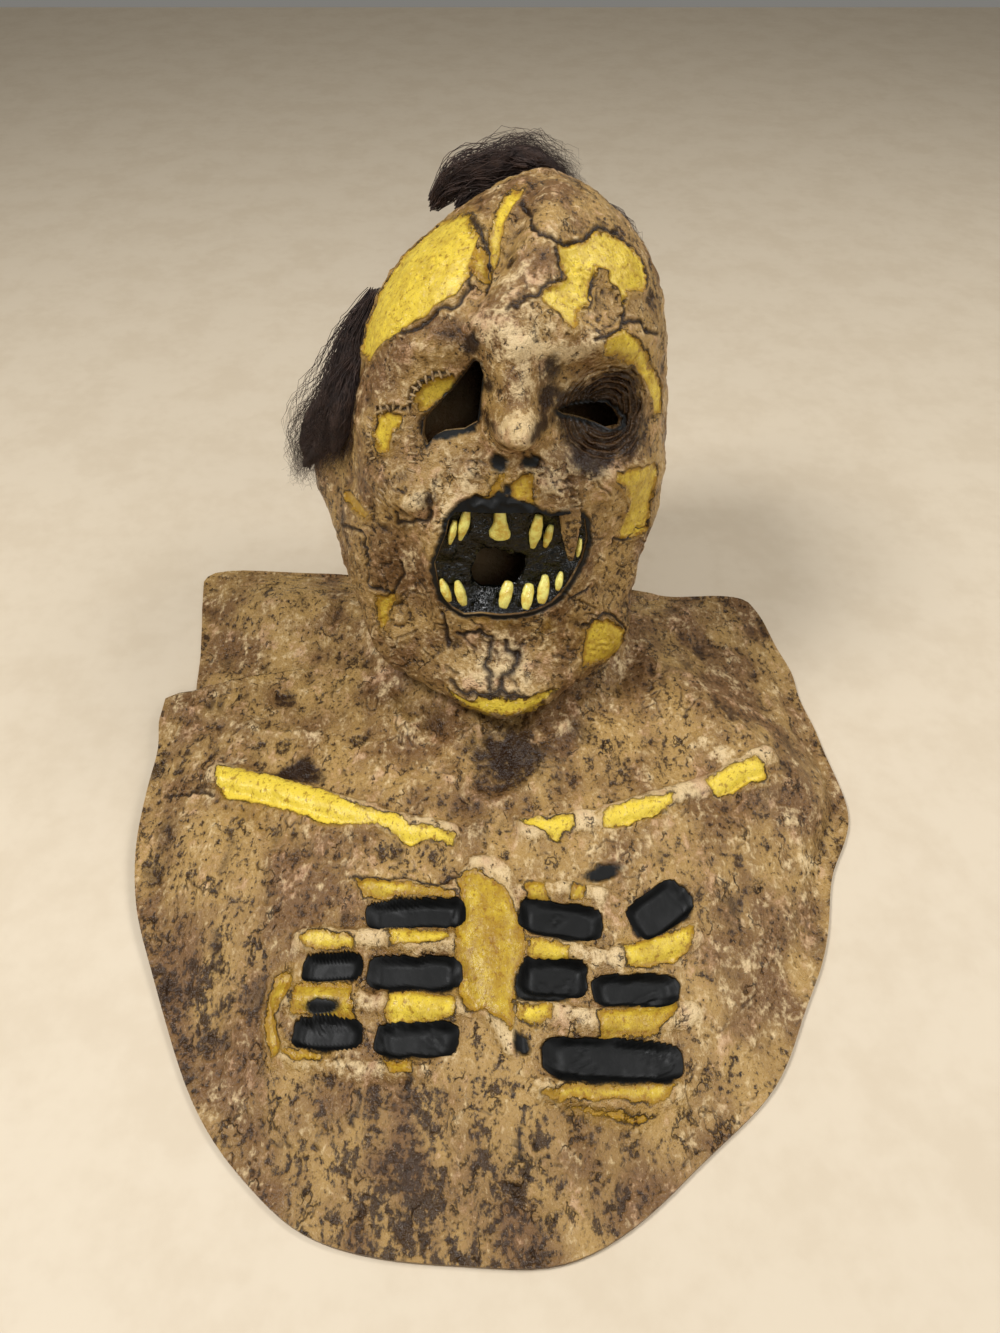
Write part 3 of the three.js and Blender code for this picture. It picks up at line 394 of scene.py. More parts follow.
    def skin(self, v: Array, b: Array) -> tuple[Array, Array]:
        """The outer surface with the face's forms.

        Args:
            v: Places down the rings.
            b: Bearings in radians.

        Returns:
            Points, and the unit directions the wall's thickness is measured along.
        """
        reach = 0.02
        p = self.grid(v, b)
        down = self.grid(np.minimum(v + reach, self.rings - 1), b) - self.grid(np.maximum(v - reach, 0), b)
        n = unit(np.cross(down, self.grid(v, b + reach) - self.grid(v, b - reach)))
        n[v < reach] = self.up
        depth = np.zeros(p.shape[:-1])
        for row, middle, out, side in self.forms:
            d = p - middle
            swell = row[5] * self.head.depth * bump(
                d @ side, d @ self.up, row[2] * self.head.width, row[3] * self.head.height, row[4])
            depth += np.where(d @ out < -self.head.depth / 3, 0, swell)
        last = self.sections
        depth *= 1 - smooth(v, last - 1, last + 1)[:, None]
        p = p + n * depth[..., None]
        flat = smooth(v, last, last + 2.2)[:, None, None]
        return p, unit(n * (1 - flat) + np.array([0, 0, 1.0]) * flat)

    def on_face(self, across: Array, up: Array) -> Array:
        """Points of the face's surface straight ahead of places given across and up.

        Args:
            across: Millimetres across the head's middle.
            up: Millimetres up the head from the chin level.

        Returns:
            One point for each place.
        """
        v, b = np.linspace(3, 12.9, 240), np.radians(np.linspace(-70, 70, 240))
        p, _ = self.skin(v, b)
        d = p - self.chin
        plane = np.stack([d @ self.X, d @ self.up], -1).reshape(-1, 2)
        far = (d @ self.ahead).reshape(-1)
        out = []
        for a, u in zip(across, up):
            gap = np.hypot(plane[:, 0] - a, plane[:, 1] - u)
            near = np.argsort(gap)[:6]
            weight = 1 / (gap[near] + 0.05)
            depth = far[near] @ weight / weight.sum()
            out.append(self.chin + a * self.X + u * self.up + self.ahead * depth)
        return np.array(out)


@dataclass(frozen=True)
class PhotoCamera:
    """The camera of the photograph: a place, a pitch and a focal length in image pixels."""

    place: tuple[float, float, float] = (0, -500, 490)
    pitch: float = 45
    focal: float = 1001
    width: int = 1000
    height: int = 1333

    def project(self, points: Array) -> Array:
        """Image pixels of points.

        Args:
            points: Places in the mask's millimetres.

        Returns:
            Columns and rows of the image.
        """
        a = math.radians(self.pitch)
        ahead = np.array([0, math.cos(a), -math.sin(a)])
        down = np.array([0, -math.sin(a), -math.cos(a)])
        d = points - np.array(self.place)
        depth = d @ ahead
        return np.stack([self.width / 2 + self.focal * d[..., 0] / depth,
                         self.height / 2 + self.focal * (d @ down) / depth], -1)


class Region(Enum):
    """Which flat chart a stretch of skin is laid out on."""

    HEAD = "head"
    BIB = "bib"


@dataclass
class Chart:
    """A flat layout of one stretch of skin, where marks from the photograph are placed.

    The head is unrolled by bearing and rise, and the bib is seen from above.
    """

    form: MaskForm
    camera: PhotoCamera
    region: Region
    radius: float = 88
    widest: float = 118
    columns: int = 560
    pixels: Array = field(init=False)
    places: Array = field(init=False)
    spots: Array = field(init=False)
    nearness: Array = field(init=False)

    def __post_init__(self) -> None:
        """Lays a fine net of the surface out in the image."""
        on_head = self.region is Region.HEAD
        v = np.linspace(1.5, 13.4, 420) if on_head else np.linspace(12.6, self.form.rings - 1, 380)
        b = np.radians(np.linspace(-self.widest, self.widest, self.columns))
        p, _ = self.form.skin(v, b)
        self.pixels = self.camera.project(p).reshape(-1, 2)
        self.spots = self.flat(v, b, p).reshape(-1, 2)
        self.places = np.stack(np.broadcast_arrays(v[:, None], b[None, :]), -1).reshape(-1, 2)
        self.nearness = np.linalg.norm(p - np.array(self.camera.place), axis=-1).reshape(-1)

    def flat(self, v: Array, b: Array, p: Array) -> Array:
        """Chart places of a net of surface points.

        Args:
            v: Places down the rings.
            b: Bearings in radians.
            p: The net's points.

        Returns:
            Two chart coordinates in millimetres for each point.
        """
        if self.region is Region.BIB:
            return p[..., :2].copy()
        rise = np.interp(v, np.arange(self.form.sections), HEAD_SECTIONS[:, 0] * self.form.head.height)
        return np.stack(np.broadcast_arrays(b[None, :] * self.radius, rise[:, None]), -1)

    def pick(self, outline: list[tuple[float, float]]) -> tuple[Array, Array]:
        """Finds the surface under image pixels.

        Args:
            outline: Pixels of the photograph.

        Returns:
            Chart places, and the places and bearings of the same points.
        """
        spots, places = [], []
        for pixel in outline:
            gap = np.hypot(*(self.pixels - pixel).T)
            near = np.flatnonzero(gap < gap.min() + 1.2)
            best = near[np.argmin(self.nearness[near])]
            spots.append(self.spots[best])
            places.append(self.places[best])
        return np.array(spots), np.array(places)


def outline_distance(spots: Array, corners: Array, far: float) -> Array:
    """Signed distance to a closed outline, positive inside.

    Args:
        spots: Chart places.
        corners: Corners of the outline.
        far: Distance beyond which the value is left at minus far.

    Returns:
        One distance for each place.
    """
    result = np.full(spots.shape[:-1], -far)
    low, high = corners.min(0) - far, corners.max(0) + far
    near = np.all((spots > low) & (spots < high), axis=-1)
    q = spots[near]
    best, inside = np.full(len(q), far), np.zeros(len(q), bool)
    for a, b in zip(corners, np.roll(corners, -1, 0)):
        best = np.minimum(best, segment_distance(q, a, b))
        crosses = (a[1] > q[:, 1]) != (b[1] > q[:, 1])
        at = a[0] + (q[:, 1] - a[1]) * (b[0] - a[0]) / ((b[1] - a[1]) or 1e-9)
        inside ^= crosses & (q[:, 0] < at)
    result[near] = np.where(inside, best, -best)
    return result


def segment_distance(q: Array, a: Array, b: Array) -> Array:
    """Distance of places from one straight segment.

    Args:
        q: Places.
        a: Start of the segment.
        b: End of the segment.

    Returns:
        One distance for each place.
    """
    run = b - a
    t = np.clip(((q - a) @ run) / max(run @ run, 1e-9), 0, 1)
    return np.linalg.norm(q - a - t[..., None] * run, axis=-1)


def line_distance(spots: Array, line: Array, far: float) -> Array:
    """Distance of chart places from an open line, no more than far.

    Args:
        spots: Chart places.
        line: Corners of the line.
        far: Largest distance given.

    Returns:
        One distance for each place.
    """
    result = np.full(spots.shape[:-1], far)
    near = np.all((spots > line.min(0) - far) & (spots < line.max(0) + far), axis=-1)
    q = spots[near]
    best = np.full(len(q), far)
    for a, b in zip(line, line[1:]):
        best = np.minimum(best, segment_distance(q, a, b))
    result[near] = best
    return result


H, B = Region.HEAD, Region.BIB

# Bone patches: region, outline in the photograph's pixels, and tint, 0 for pale yellow and 1 for ochre.
BONE_PATCHES = (
    (H, ((465, 210), (472, 221), (479, 236), (473, 249), (470, 267), (468, 282), (457, 295), (438, 306),
         (422, 317), (405, 327), (390, 336), (379, 345), (368, 360), (361, 354), (356, 341), (364, 319),
         (377, 297), (390, 275), (405, 254), (422, 234), (440, 220)), 0.35),
    (H, ((511, 187), (524, 184), (513, 204), (505, 223), (503, 245), (496, 267), (492, 275), (490, 262),
         (490, 230), (496, 213)), 0.4),
    (H, ((473, 245), (487, 252), (492, 267), (490, 284), (479, 282), (470, 273)), 0.85),
    (H, ((559, 245), (585, 239), (592, 230), (605, 230), (620, 236), (633, 247), (644, 262), (648, 278),
         (644, 291), (628, 293), (624, 306), (620, 288), (609, 284), (611, 271), (598, 269), (592, 282),
         (592, 301), (581, 310), (579, 323), (574, 330), (566, 325), (557, 310), (548, 304), (535, 297),
         (548, 286), (566, 275), (561, 262)), 0.45),
    (H, ((602, 345), (613, 334), (626, 327), (637, 336), (648, 353), (657, 371), (663, 388), (661, 410),
         (657, 418), (652, 399), (646, 382), (635, 366), (620, 358), (605, 356)), 0.5),
    (H, ((433, 379), (453, 375), (457, 388), (444, 397), (433, 405), (422, 410), (414, 399),
         (418, 386)), 0.5),
    (H, ((377, 416), (390, 412), (403, 416), (401, 425), (394, 434), (388, 451), (377, 453),
         (373, 436)), 0.5),
    (H, ((344, 492), (349, 489), (360, 503), (369, 516), (364, 520), (353, 509), (344, 499)), 0.9),
    (H, ((375, 595), (392, 593), (396, 600), (390, 611), (386, 629), (380, 629), (376, 613)), 0.8),
    (H, ((496, 473), (502, 470), (503, 483), (498, 499), (490, 505), (481, 501), (470, 505), (474, 494),
         (487, 496), (492, 483)), 0.75),
    (H, ((509, 486), (520, 477), (531, 475), (535, 488), (535, 503), (531, 514), (524, 501),
         (511, 501)), 0.7),
    (H, ((615, 473), (639, 468), (654, 462), (659, 468), (654, 488), (650, 512), (646, 531), (631, 539),
         (620, 538), (626, 522), (631, 501), (626, 488), (615, 481)), 0.55),
    (H, ((596, 620), (609, 620), (626, 631), (628, 642), (618, 657), (600, 668), (581, 668), (587, 648),
         (587, 631)), 0.6),
    (H, ((448, 689), (461, 696), (479, 698), (505, 696), (531, 698), (557, 689), (546, 702), (526, 711),
         (509, 715), (492, 713), (470, 707), (455, 698)), 0.15),
    (B, ((218, 770), (241, 768), (256, 776), (275, 775), (299, 784), (321, 789), (343, 801), (365, 812),
         (391, 816), (411, 825), (433, 830), (456, 836), (452, 845), (421, 842), (408, 845), (396, 833),
         (374, 825), (353, 823), (328, 825), (304, 816), (287, 811), (265, 804), (241, 800), (224, 799),
         (218, 787)), 0.05),
    (B, ((520, 823), (547, 819), (574, 818), (574, 831), (558, 842), (542, 834), (523, 829)), 0.1),
    (B, ((601, 815), (622, 806), (649, 799), (673, 798), (673, 806), (660, 815), (644, 821), (628, 826),
         (603, 827)), 0.1),
    (B, ((708, 780), (735, 767), (756, 760), (764, 767), (764, 780), (743, 788), (724, 794), (711, 794),
         (705, 786)), 0.1),
    (B, ((455, 880), (464, 873), (476, 871), (490, 880), (503, 888), (512, 897), (520, 920), (527, 945),
         (523, 960), (516, 975), (515, 1005), (516, 1034), (508, 1034), (496, 1021), (482, 1012),
         (468, 1010), (458, 998), (456, 980), (457, 950), (455, 920), (458, 900)), 0.78),
    (B, ((355, 879), (387, 881), (421, 888), (454, 891), (454, 898), (411, 896), (382, 900),
         (362, 896)), 0.7),
    (B, ((388, 930), (449, 930), (452, 943), (388, 948)), 0.4),
    (B, ((299, 940), (318, 930), (353, 938), (353, 951), (324, 951), (302, 948)), 0.45),
    (B, ((388, 991), (455, 994), (458, 1010), (452, 1023), (388, 1023), (383, 1013)), 0.4),
    (B, ((291, 983), (353, 983), (356, 1018), (324, 1021), (291, 1010)), 0.75),
    (B, ((275, 978), (294, 967), (291, 994), (275, 1010), (281, 1048), (270, 1064), (265, 1026),
         (270, 994)), 0.7),
    (B, ((283, 1048), (326, 1053), (321, 1061), (291, 1061)), 0.65),
    (B, ((383, 1058), (412, 1060), (412, 1072), (391, 1074)), 0.75),
    (B, ((526, 885), (547, 882), (550, 901), (528, 901)), 0.6),
    (B, ((574, 885), (587, 888), (586, 904), (571, 901)), 0.6),
    (B, ((528, 938), (547, 941), (571, 949), (571, 963), (555, 960), (528, 957)), 0.45),
    (B, ((619, 944), (644, 942), (668, 933), (692, 928), (693, 949), (673, 963), (649, 968), (628, 968),
         (622, 957)), 0.45),
    (B, ((517, 1005), (550, 1005), (552, 1018), (534, 1026), (520, 1023)), 0.4),
    (B, ((595, 1013), (630, 1007), (654, 1002), (678, 999), (678, 1013), (657, 1031), (630, 1039),
         (603, 1039), (598, 1026)), 0.7),
    (B, ((542, 1093), (566, 1086), (641, 1086), (678, 1080), (667, 1096), (662, 1106), (641, 1104),
         (587, 1102), (550, 1100)), 0.7),
    (B, ((566, 1106), (609, 1112), (657, 1114), (641, 1122), (587, 1117)), 0.7),
)

# Black patches: region and outline in pixels. The first three on the head are painted shade, along the lower
# edge of the left eye hole and in both nostrils.
INK_AND_SHADE_PATCHES = (
    (B, ((372, 911), (388, 903), (415, 900), (449, 906), (458, 914), (452, 924), (388, 927), (373, 920))),
    (B, ((369, 975), (391, 967), (436, 967), (455, 978), (452, 989), (388, 989))),
    (B, ((308, 967), (324, 962), (348, 964), (356, 975), (353, 981), (308, 978))),
    (B, ((383, 1031), (441, 1031), (452, 1042), (433, 1053), (388, 1056), (380, 1048))),
    (B, ((294, 1037), (308, 1021), (350, 1026), (350, 1037), (329, 1050), (294, 1042))),
    (B, ((520, 914), (531, 909), (590, 912), (595, 917), (590, 936), (569, 944), (547, 936), (526, 928))),
    (B, ((638, 914), (660, 893), (681, 885), (694, 898), (689, 914), (670, 928), (638, 938), (633, 928))),
    (B, ((517, 975), (534, 967), (558, 972), (574, 986), (568, 999), (547, 1002), (523, 999), (515, 989))),
    (B, ((598, 986), (619, 981), (667, 978), (678, 986), (667, 997), (630, 1007), (603, 1005))),
    (B, ((515, 1037), (528, 1039), (528, 1053), (517, 1058))),
    (B, ((552, 1074), (568, 1055), (587, 1050), (665, 1050), (678, 1063), (673, 1080), (641, 1084),
         (566, 1082))),
    # Painted shade: along the lower edge of the left eye hole, then in both nostrils.
    (H, ((422, 434), (440, 428), (455, 424), (470, 425), (472, 430), (452, 434), (436, 440), (424, 441))),
    (H, ((490, 460), (494, 455), (503, 457), (506, 463), (501, 469), (493, 468))),
    (H, ((524, 463), (528, 457), (536, 456), (540, 461), (537, 467), (529, 469))),
    (H, ((505, 488), (509, 485), (513, 489), (512, 496), (508, 498))),
)

# Cracks: region and line in pixels.
CRACKS = (
    (H, ((507, 305), (520, 301), (531, 297), (542, 291), (552, 281), (561, 280), (563, 273), (561, 262),
         (557, 247))),
    (H, ((522, 201), (529, 210), (533, 219), (531, 226), (542, 234), (552, 236), (565, 242), (581, 242),
         (589, 236), (592, 228), (600, 226), (611, 230), (622, 235), (633, 243), (641, 256), (648, 275),
         (647, 288))),
    (H, ((598, 269), (592, 278), (592, 293), (593, 304), (583, 308))),
    (H, ((624, 297), (625, 310), (624, 321), (641, 323), (650, 332), (659, 336))),
    (H, ((596, 339), (609, 336), (620, 330), (624, 323))),
    (H, ((392, 332), (412, 330), (427, 319), (442, 308), (448, 306), (453, 310), (464, 297), (472, 286),
         (474, 269))),
    (H, ((470, 217), (481, 230), (484, 243), (490, 252), (490, 271), (487, 293))),
    (H, ((447, 372), (433, 376), (418, 383), (409, 397), (407, 410), (394, 405), (375, 410))),
    (H, ((394, 512), (399, 522), (416, 523), (429, 520), (433, 505), (427, 494))),
    (H, ((340, 525), (353, 529), (362, 533), (366, 561), (368, 587), (392, 594), (401, 577), (405, 561))),
    (H, ((448, 681), (461, 692), (479, 695), (505, 693), (535, 698))),
    (H, ((459, 635), (479, 633), (490, 639), (490, 655), (485, 668), (490, 683), (492, 694))),
    (H, ((505, 644), (511, 652), (518, 657), (516, 670), (503, 676), (498, 692))),
    (H, ((442, 613), (448, 648))),
    (H, ((611, 542), (628, 538), (648, 527), (652, 516))),
    (H, ((570, 598), (581, 594), (589, 590))),
    (H, ((583, 629), (594, 620), (607, 613), (620, 622), (631, 631))),
    (H, ((471, 332), (475, 345))),
    (B, ((350, 876), (374, 878), (389, 881), (401, 876), (423, 884), (442, 885), (456, 876))),
    (B, ((407, 1066), (409, 1082), (408, 1098))),
    (B, ((358, 1093), (356, 1112), (350, 1125))),
    (B, ((523, 1109), (520, 1149), (531, 1181))),
    (B, ((164, 796), (188, 796), (202, 791), (217, 794))),
)

# Where stray cracks are dealt: region, corners in pixels and how many.
STRAY_FIELDS = (
    (H, (395, 220, 640, 340), 18), (H, (565, 470, 650, 690), 26), (H, (372, 470, 440, 680), 26),
    (H, (440, 630, 580, 690), 12), (H, (440, 455, 580, 500), 10), (B, (250, 600, 760, 800), 40),
    (B, (150, 800, 850, 1000), 50), (B, (190, 1000, 800, 1150), 50), (B, (280, 1130, 690, 1260), 30),
)

# Pits: region, pixel and half width in millimetres.
PITS = (
    (H, 510, 260, 2.6), (H, 490, 316, 1.4), (H, 503, 327, 1.4), (H, 562, 324, 2.0), (H, 600, 320, 1.6),
    (H, 613, 290, 1.6), (H, 554, 201, 1.6), (H, 461, 232, 1.4), (H, 381, 546, 1.6), (H, 582, 470, 1.6),
    (H, 600, 468, 1.6), (H, 568, 482, 1.5), (H, 581, 499, 1.7), (H, 599, 586, 1.5), (H, 567, 632, 1.4),
    (H, 518, 657, 1.6), (B, 198, 881, 1.6), (B, 242, 894, 1.4), (B, 267, 901, 1.5), (B, 216, 911, 1.3),
    (B, 394, 852, 1.4), (B, 408, 862, 1.3), (B, 365, 845, 1.4), (B, 207, 807, 1.4), (B, 388, 1168, 1.3),
    (B, 458, 1141, 1.4), (B, 450, 1155, 1.2), (B, 249, 1119, 1.4), (B, 270, 1125, 1.3), (B, 318, 1149, 1.4),
    (B, 305, 1226, 1.3), (B, 266, 1097, 1.3), (B, 595, 1141, 1.4), (B, 611, 1176, 1.3), (B, 737, 959, 1.5),
    (B, 721, 956, 1.3), (B, 775, 959, 1.6), (B, 797, 963, 1.6), (B, 791, 968, 1.3), (B, 702, 962, 1.4),
)

# Round knobs: region, pixel, half width and height in millimetres.
KNOBS = ((H, 412, 505, 7.5, 2.6), (H, 474, 321, 3.2, 1.6), (H, 399, 616, 5.5, 1.8), (H, 515, 437, 9, 2.6))

# Stitched seams: region and line in pixels.
STITCH_SEAMS = (
    (H, ((370, 419), (368, 440), (370, 459))),
    (H, ((409, 429), (411, 450), (410, 470), (400, 479), (385, 487), (379, 501))),
    (H, ((447, 372), (433, 376), (418, 383), (409, 397), (407, 410), (394, 405), (375, 410))),
)

# Pixel in the middle of the swollen lid.
RIGHT_LID = (605, 410)

# Dark patches: region, pixel, half width in millimetres, strength. Round the right eye they are the lids'
# dark paint; the ones beside the nose and the wide one under the chin at the neck are painted shade.
DARK_WASH_AND_SHADE = (
    (H, 600, 412, 19, 1.5), (H, 630, 425, 13, 1.2), (H, 570, 405, 11, 1.1), (H, 590, 447, 12, 1.1),
    (H, 622, 385, 12, 0.9), (H, 548, 395, 6, 0.9), (H, 541, 430, 5, 0.9), (H, 470, 345, 5, 1.4),
    (H, 486, 385, 4, 0.9), (H, 489, 425, 4, 0.8), (H, 552, 366, 7, 0.8),
    (H, 425, 425, 6, 0.6), (H, 450, 430, 7, 0.35), (H, 395, 480, 8, 0.3), (H, 425, 500, 5, 0.6),
    (H, 405, 527, 6, 0.5), (H, 340, 520, 8, 0.6), (H, 362, 545, 7, 0.4), (H, 448, 640, 5, 0.6),
    (H, 517, 655, 5, 0.6), (H, 455, 600, 5, 0.4), (H, 655, 520, 8, 0.4), (H, 640, 640, 8, 0.35),
    (H, 665, 330, 8, 0.5), (H, 490, 235, 5, 0.35), (H, 500, 465, 5, 0.5), (H, 534, 466, 5, 0.5),
    (B, 300, 768, 9, 1.1), (B, 280, 778, 7, 0.9), (B, 318, 776, 6, 0.8), (B, 200, 790, 6, 0.6),
    (B, 150, 770, 10, 0.6), (B, 165, 830, 10, 0.5), (B, 480, 830, 8, 0.5), (B, 340, 690, 12, 0.35),
    (B, 470, 800, 12, 0.35), (B, 510, 752, 26, 0.95), (B, 430, 720, 14, 0.5), (B, 580, 730, 16, 0.45),
    (B, 400, 700, 14, 0.35), (B, 350, 650, 12, 0.3), (B, 165, 1000, 14, 0.5), (B, 175, 1080, 12, 0.4),
    (B, 770, 800, 12, 0.35), (B, 820, 940, 10, 0.4), (B, 250, 722, 16, 0.25), (B, 480, 1170, 14, 0.2),
)

# Ridges: region, line in pixels, half width and height in millimetres.
RIDGES = (
    (H, ((516, 352), (517, 390), (515, 425)), 7.0, 2.6),
    (H, ((497, 452), (497, 440), (502, 428)), 3.0, 1.2),
    (H, ((533, 452), (535, 440), (530, 428)), 3.0, 1.2),
    (H, ((478, 320), (500, 335), (540, 352), (575, 352), (600, 345)), 5.5, 2.4),
    (H, ((547, 470), (560, 500), (574, 540)), 4.5, 1.6),
    (H, ((470, 470), (452, 505), (440, 540)), 4.5, 1.6),
    (H, ((560, 458), (590, 475), (620, 470)), 5.0, 1.6),
    (H, ((405, 560), (410, 600), (425, 640)), 4.5, 1.6),
    (B, ((362, 621), (375, 651), (386, 690), (397, 712), (414, 738)), 4.0, 1.8),
    (B, ((640, 640), (600, 690), (560, 735)), 5.0, 1.6),
    (B, ((440, 760), (470, 790), (500, 800), (540, 780)), 5.0, 1.4),
    (B, ((180, 707), (217, 718), (267, 731), (319, 735)), 3.5, 1.4),
    (B, ((455, 1060), (460, 1130), (450, 1200)), 6.0, 1.6),
    (B, ((560, 1130), (575, 1180), (570, 1240)), 6.0, 1.4),
    (B, ((700, 740), (760, 790), (815, 870)), 5.0, 1.8),
)

# Black smudges: region, pixel, half length and half breadth in millimetres, turn in degrees.
SMUDGES = ((B, 603, 871, 13, 5, 18), (B, 321, 1008, 10, 4.5, 0))

# Tones: region, pixel, half width in millimetres, strength. Above 0 is pale, below 0 is dark. The broad pale
# ones over the face and the chin are painted light, and the dark ones at the neck under the jaw are painted
# shade.
TONES_AND_PAINTED_LIGHT = (
    (H, 510, 400, 70, 0.34), (H, 500, 660, 30, 0.5), (H, 425, 545, 14, 0.3),
    (H, 514, 440, 15, -0.6), (H, 514, 385, 14, -0.9), (H, 470, 335, 8, -0.3), (H, 500, 700, 20, 0.5),
    (H, 560, 520, 22, 0.3), (H, 455, 500, 22, 0.3), (H, 400, 470, 20, 0.25), (H, 540, 350, 26, 0.25),
    (H, 440, 350, 18, 0.2), (H, 500, 250, 30, 0.15), (H, 606, 410, 17, -0.8), (H, 440, 405, 13, -0.7),
    (H, 470, 380, 8, -0.4), (H, 640, 600, 26, -0.3), (H, 420, 620, 14, -0.5), (H, 655, 300, 22, -0.3),
    (H, 380, 560, 14, -0.35), (B, 495, 765, 26, -0.7), (B, 600, 740, 30, -0.4), (H, 525, 285, 16, 0.4),
    (H, 500, 665, 14, 0.4), (H, 600, 560, 20, 0.25), (H, 412, 560, 10, 0.25), (B, 765, 975, 40, 0.4),
    (B, 165, 1030, 26, -0.9), (B, 160, 960, 18, -0.6), (B, 470, 1180, 70, -0.8), (B, 200, 940, 40, -0.35),
    (B, 270, 655, 30, 0.4), (B, 730, 690, 26, 0.35), (B, 350, 1240, 45, -0.35), (B, 740, 790, 20, -0.35),
    (B, 820, 870, 22, 0.35), (B, 212, 592, 16, 0.5), (B, 211, 696, 14, 0.45), (B, 700, 1010, 28, 0.15),
    (B, 250, 880, 34, 0.15), (B, 600, 880, 40, 0.2), (B, 395, 690, 10, 0.3), (B, 297, 770, 14, -0.8),
)

# Yellowed places: region, pixel, half width in millimetres, strength.
YOLK = (
    (H, 515, 442, 9, 0.5), (H, 470, 618, 9, 0.6), (H, 575, 640, 12, 0.5), (H, 544, 628, 8, 0.9),
    (H, 505, 620, 10, 0.6), (H, 425, 255, 22, 0.6), (H, 610, 262, 16, 0.4),
    (H, 640, 500, 12, 0.5), (H, 607, 642, 12, 0.5), (H, 392, 612, 10, 0.5), (B, 252, 818, 18, 0.5),
    (B, 487, 940, 14, 0.4), (B, 600, 1095, 22, 0.3), (B, 355, 965, 24, 0.3),
)

# Bones of the chest: breadth, height, then places along the line, in shares of the bib's reach.
BONES = (
    (16.9, 4.4, ((-0.451, -0.317), (-0.36, -0.352), (-0.26, -0.392), (-0.16, -0.432), (-0.078, -0.451))),
    (15.6, 4.4, ((0.044, -0.446), (0.13, -0.428), (0.213, -0.4), (0.33, -0.35), (0.425, -0.3))),
    (10.4, 3.2, ((-0.19, -0.536), (-0.12, -0.54), (-0.055, -0.548))),
    (13, 3.6, ((-0.275, -0.61), (-0.165, -0.612), (-0.055, -0.622))),
    (13, 3.6, ((-0.292, -0.688), (-0.17, -0.7), (-0.05, -0.71))),
    (10.4, 2.5, ((-0.28, -0.765), (-0.17, -0.79), (-0.09, -0.79))),
    (10.4, 3.2, ((0.03, -0.545), (0.09, -0.54), (0.14, -0.55))),
    (13, 3.6, ((0.03, -0.622), (0.13, -0.64), (0.2, -0.63), (0.27, -0.6))),
    (13, 3.6, ((0.03, -0.715), (0.13, -0.725), (0.2, -0.722), (0.255, -0.708))),
    (13, 3.2, ((0.05, -0.81), (0.13, -0.815), (0.22, -0.812))),
)
STERNUM_HEIGHT = 5.0

# Breastbone in shares of the bib's reach: x, y, half width.
STERNUM = np.array([
    (-0.028, -0.505, 0.022), (-0.02, -0.53, 0.045), (-0.012, -0.58, 0.05), (-0.006, -0.625, 0.054),
    (-0.008, -0.675, 0.036), (0.002, -0.715, 0.03), (0.016, -0.765, 0.01),
])

# Pockets between the ribs: x, y, length, breadth as shares of the bib's reach, turn in degrees.
POCKET_DEPTH = 5.0
POCKETS = np.array([
    (-0.118, -0.577, 0.13, 0.04, 2), (-0.116, -0.66, 0.12, 0.042, -2), (-0.228, -0.65, 0.075, 0.034, 0),
    (-0.108, -0.748, 0.1, 0.04, 0), (-0.226, -0.737, 0.085, 0.036, -4), (0.085, -0.585, 0.11, 0.046, -8),
    (0.226, -0.565, 0.09, 0.055, 38), (0.072, -0.668, 0.085, 0.046, -4), (0.182, -0.68, 0.11, 0.04, 4),
    (0.145, -0.77, 0.17, 0.046, 0),
])

# Corners of the eye holes: across as shares of the head's width, up of its height.
EYE_LEFT = np.array([
    (-0.061, 0.708), (-0.049, 0.686), (-0.059, 0.639), (-0.068, 0.598), (-0.109, 0.581), (-0.172, 0.575),
    (-0.2, 0.567), (-0.226, 0.548), (-0.24, 0.568), (-0.234, 0.594), (-0.194, 0.62), (-0.139, 0.654),
    (-0.108, 0.679), (-0.076, 0.707),
])
EYE_RIGHT = np.array([
    (0.17, 0.619), (0.207, 0.622), (0.265, 0.62), (0.325, 0.619), (0.364, 0.602), (0.385, 0.583),
    (0.382, 0.573), (0.341, 0.571), (0.293, 0.584), (0.244, 0.595), (0.193, 0.607),
])


@dataclass(frozen=True)
class MouthSize:
    """Driving dimensions of the mouth: its middle as shares of the head, the rest in millimetres."""

    across: float = 0.0215
    up: float = 0.337
    width: float = 80
    height: float = 72
    gum_depth: float = 15
    tooth_thickness: float = 6.5


MOUTH = MouthSize()

# Edge of the mouth in shares of its size, across and up, and the gum's ring, depth, aside and drop.
MOUTH_EDGE = np.array([
    (0.569, 0.131), (0.545, 0.3), (0.47, 0.385), (0.289, 0.372), (0.218, 0.408), (0.147, 0.453),
    (0.031, 0.5), (-0.049, 0.54), (-0.129, 0.49), (-0.209, 0.52), (-0.3, 0.475), (-0.396, 0.342),
    (-0.418, 0.231), (-0.467, 0.087), (-0.511, -0.047), (-0.493, -0.224), (-0.458, -0.357),
    (-0.396, -0.446), (-0.307, -0.507), (-0.182, -0.485), (-0.04, -0.507), (0.102, -0.496),
    (0.218, -0.468), (0.324, -0.413), (0.396, -0.335), (0.467, -0.213), (0.538, -0.058),
])
GUM_PROFILE = np.array([
    (1.05, 0.05, 0, 0), (0.9, 0.35, 0, 0), (0.66, 0.8, -0.02, 0.03), (0.36, 1.0, -0.07, 0.13),
])

# Torn flap of lip in shares of the mouth: across, up, half width.
LIP_FLAP = np.array([(0.43, 0.42, 0.075), (0.435, 0.28, 0.072), (0.44, 0.14, 0.05), (0.45, -0.02, 0.02)])

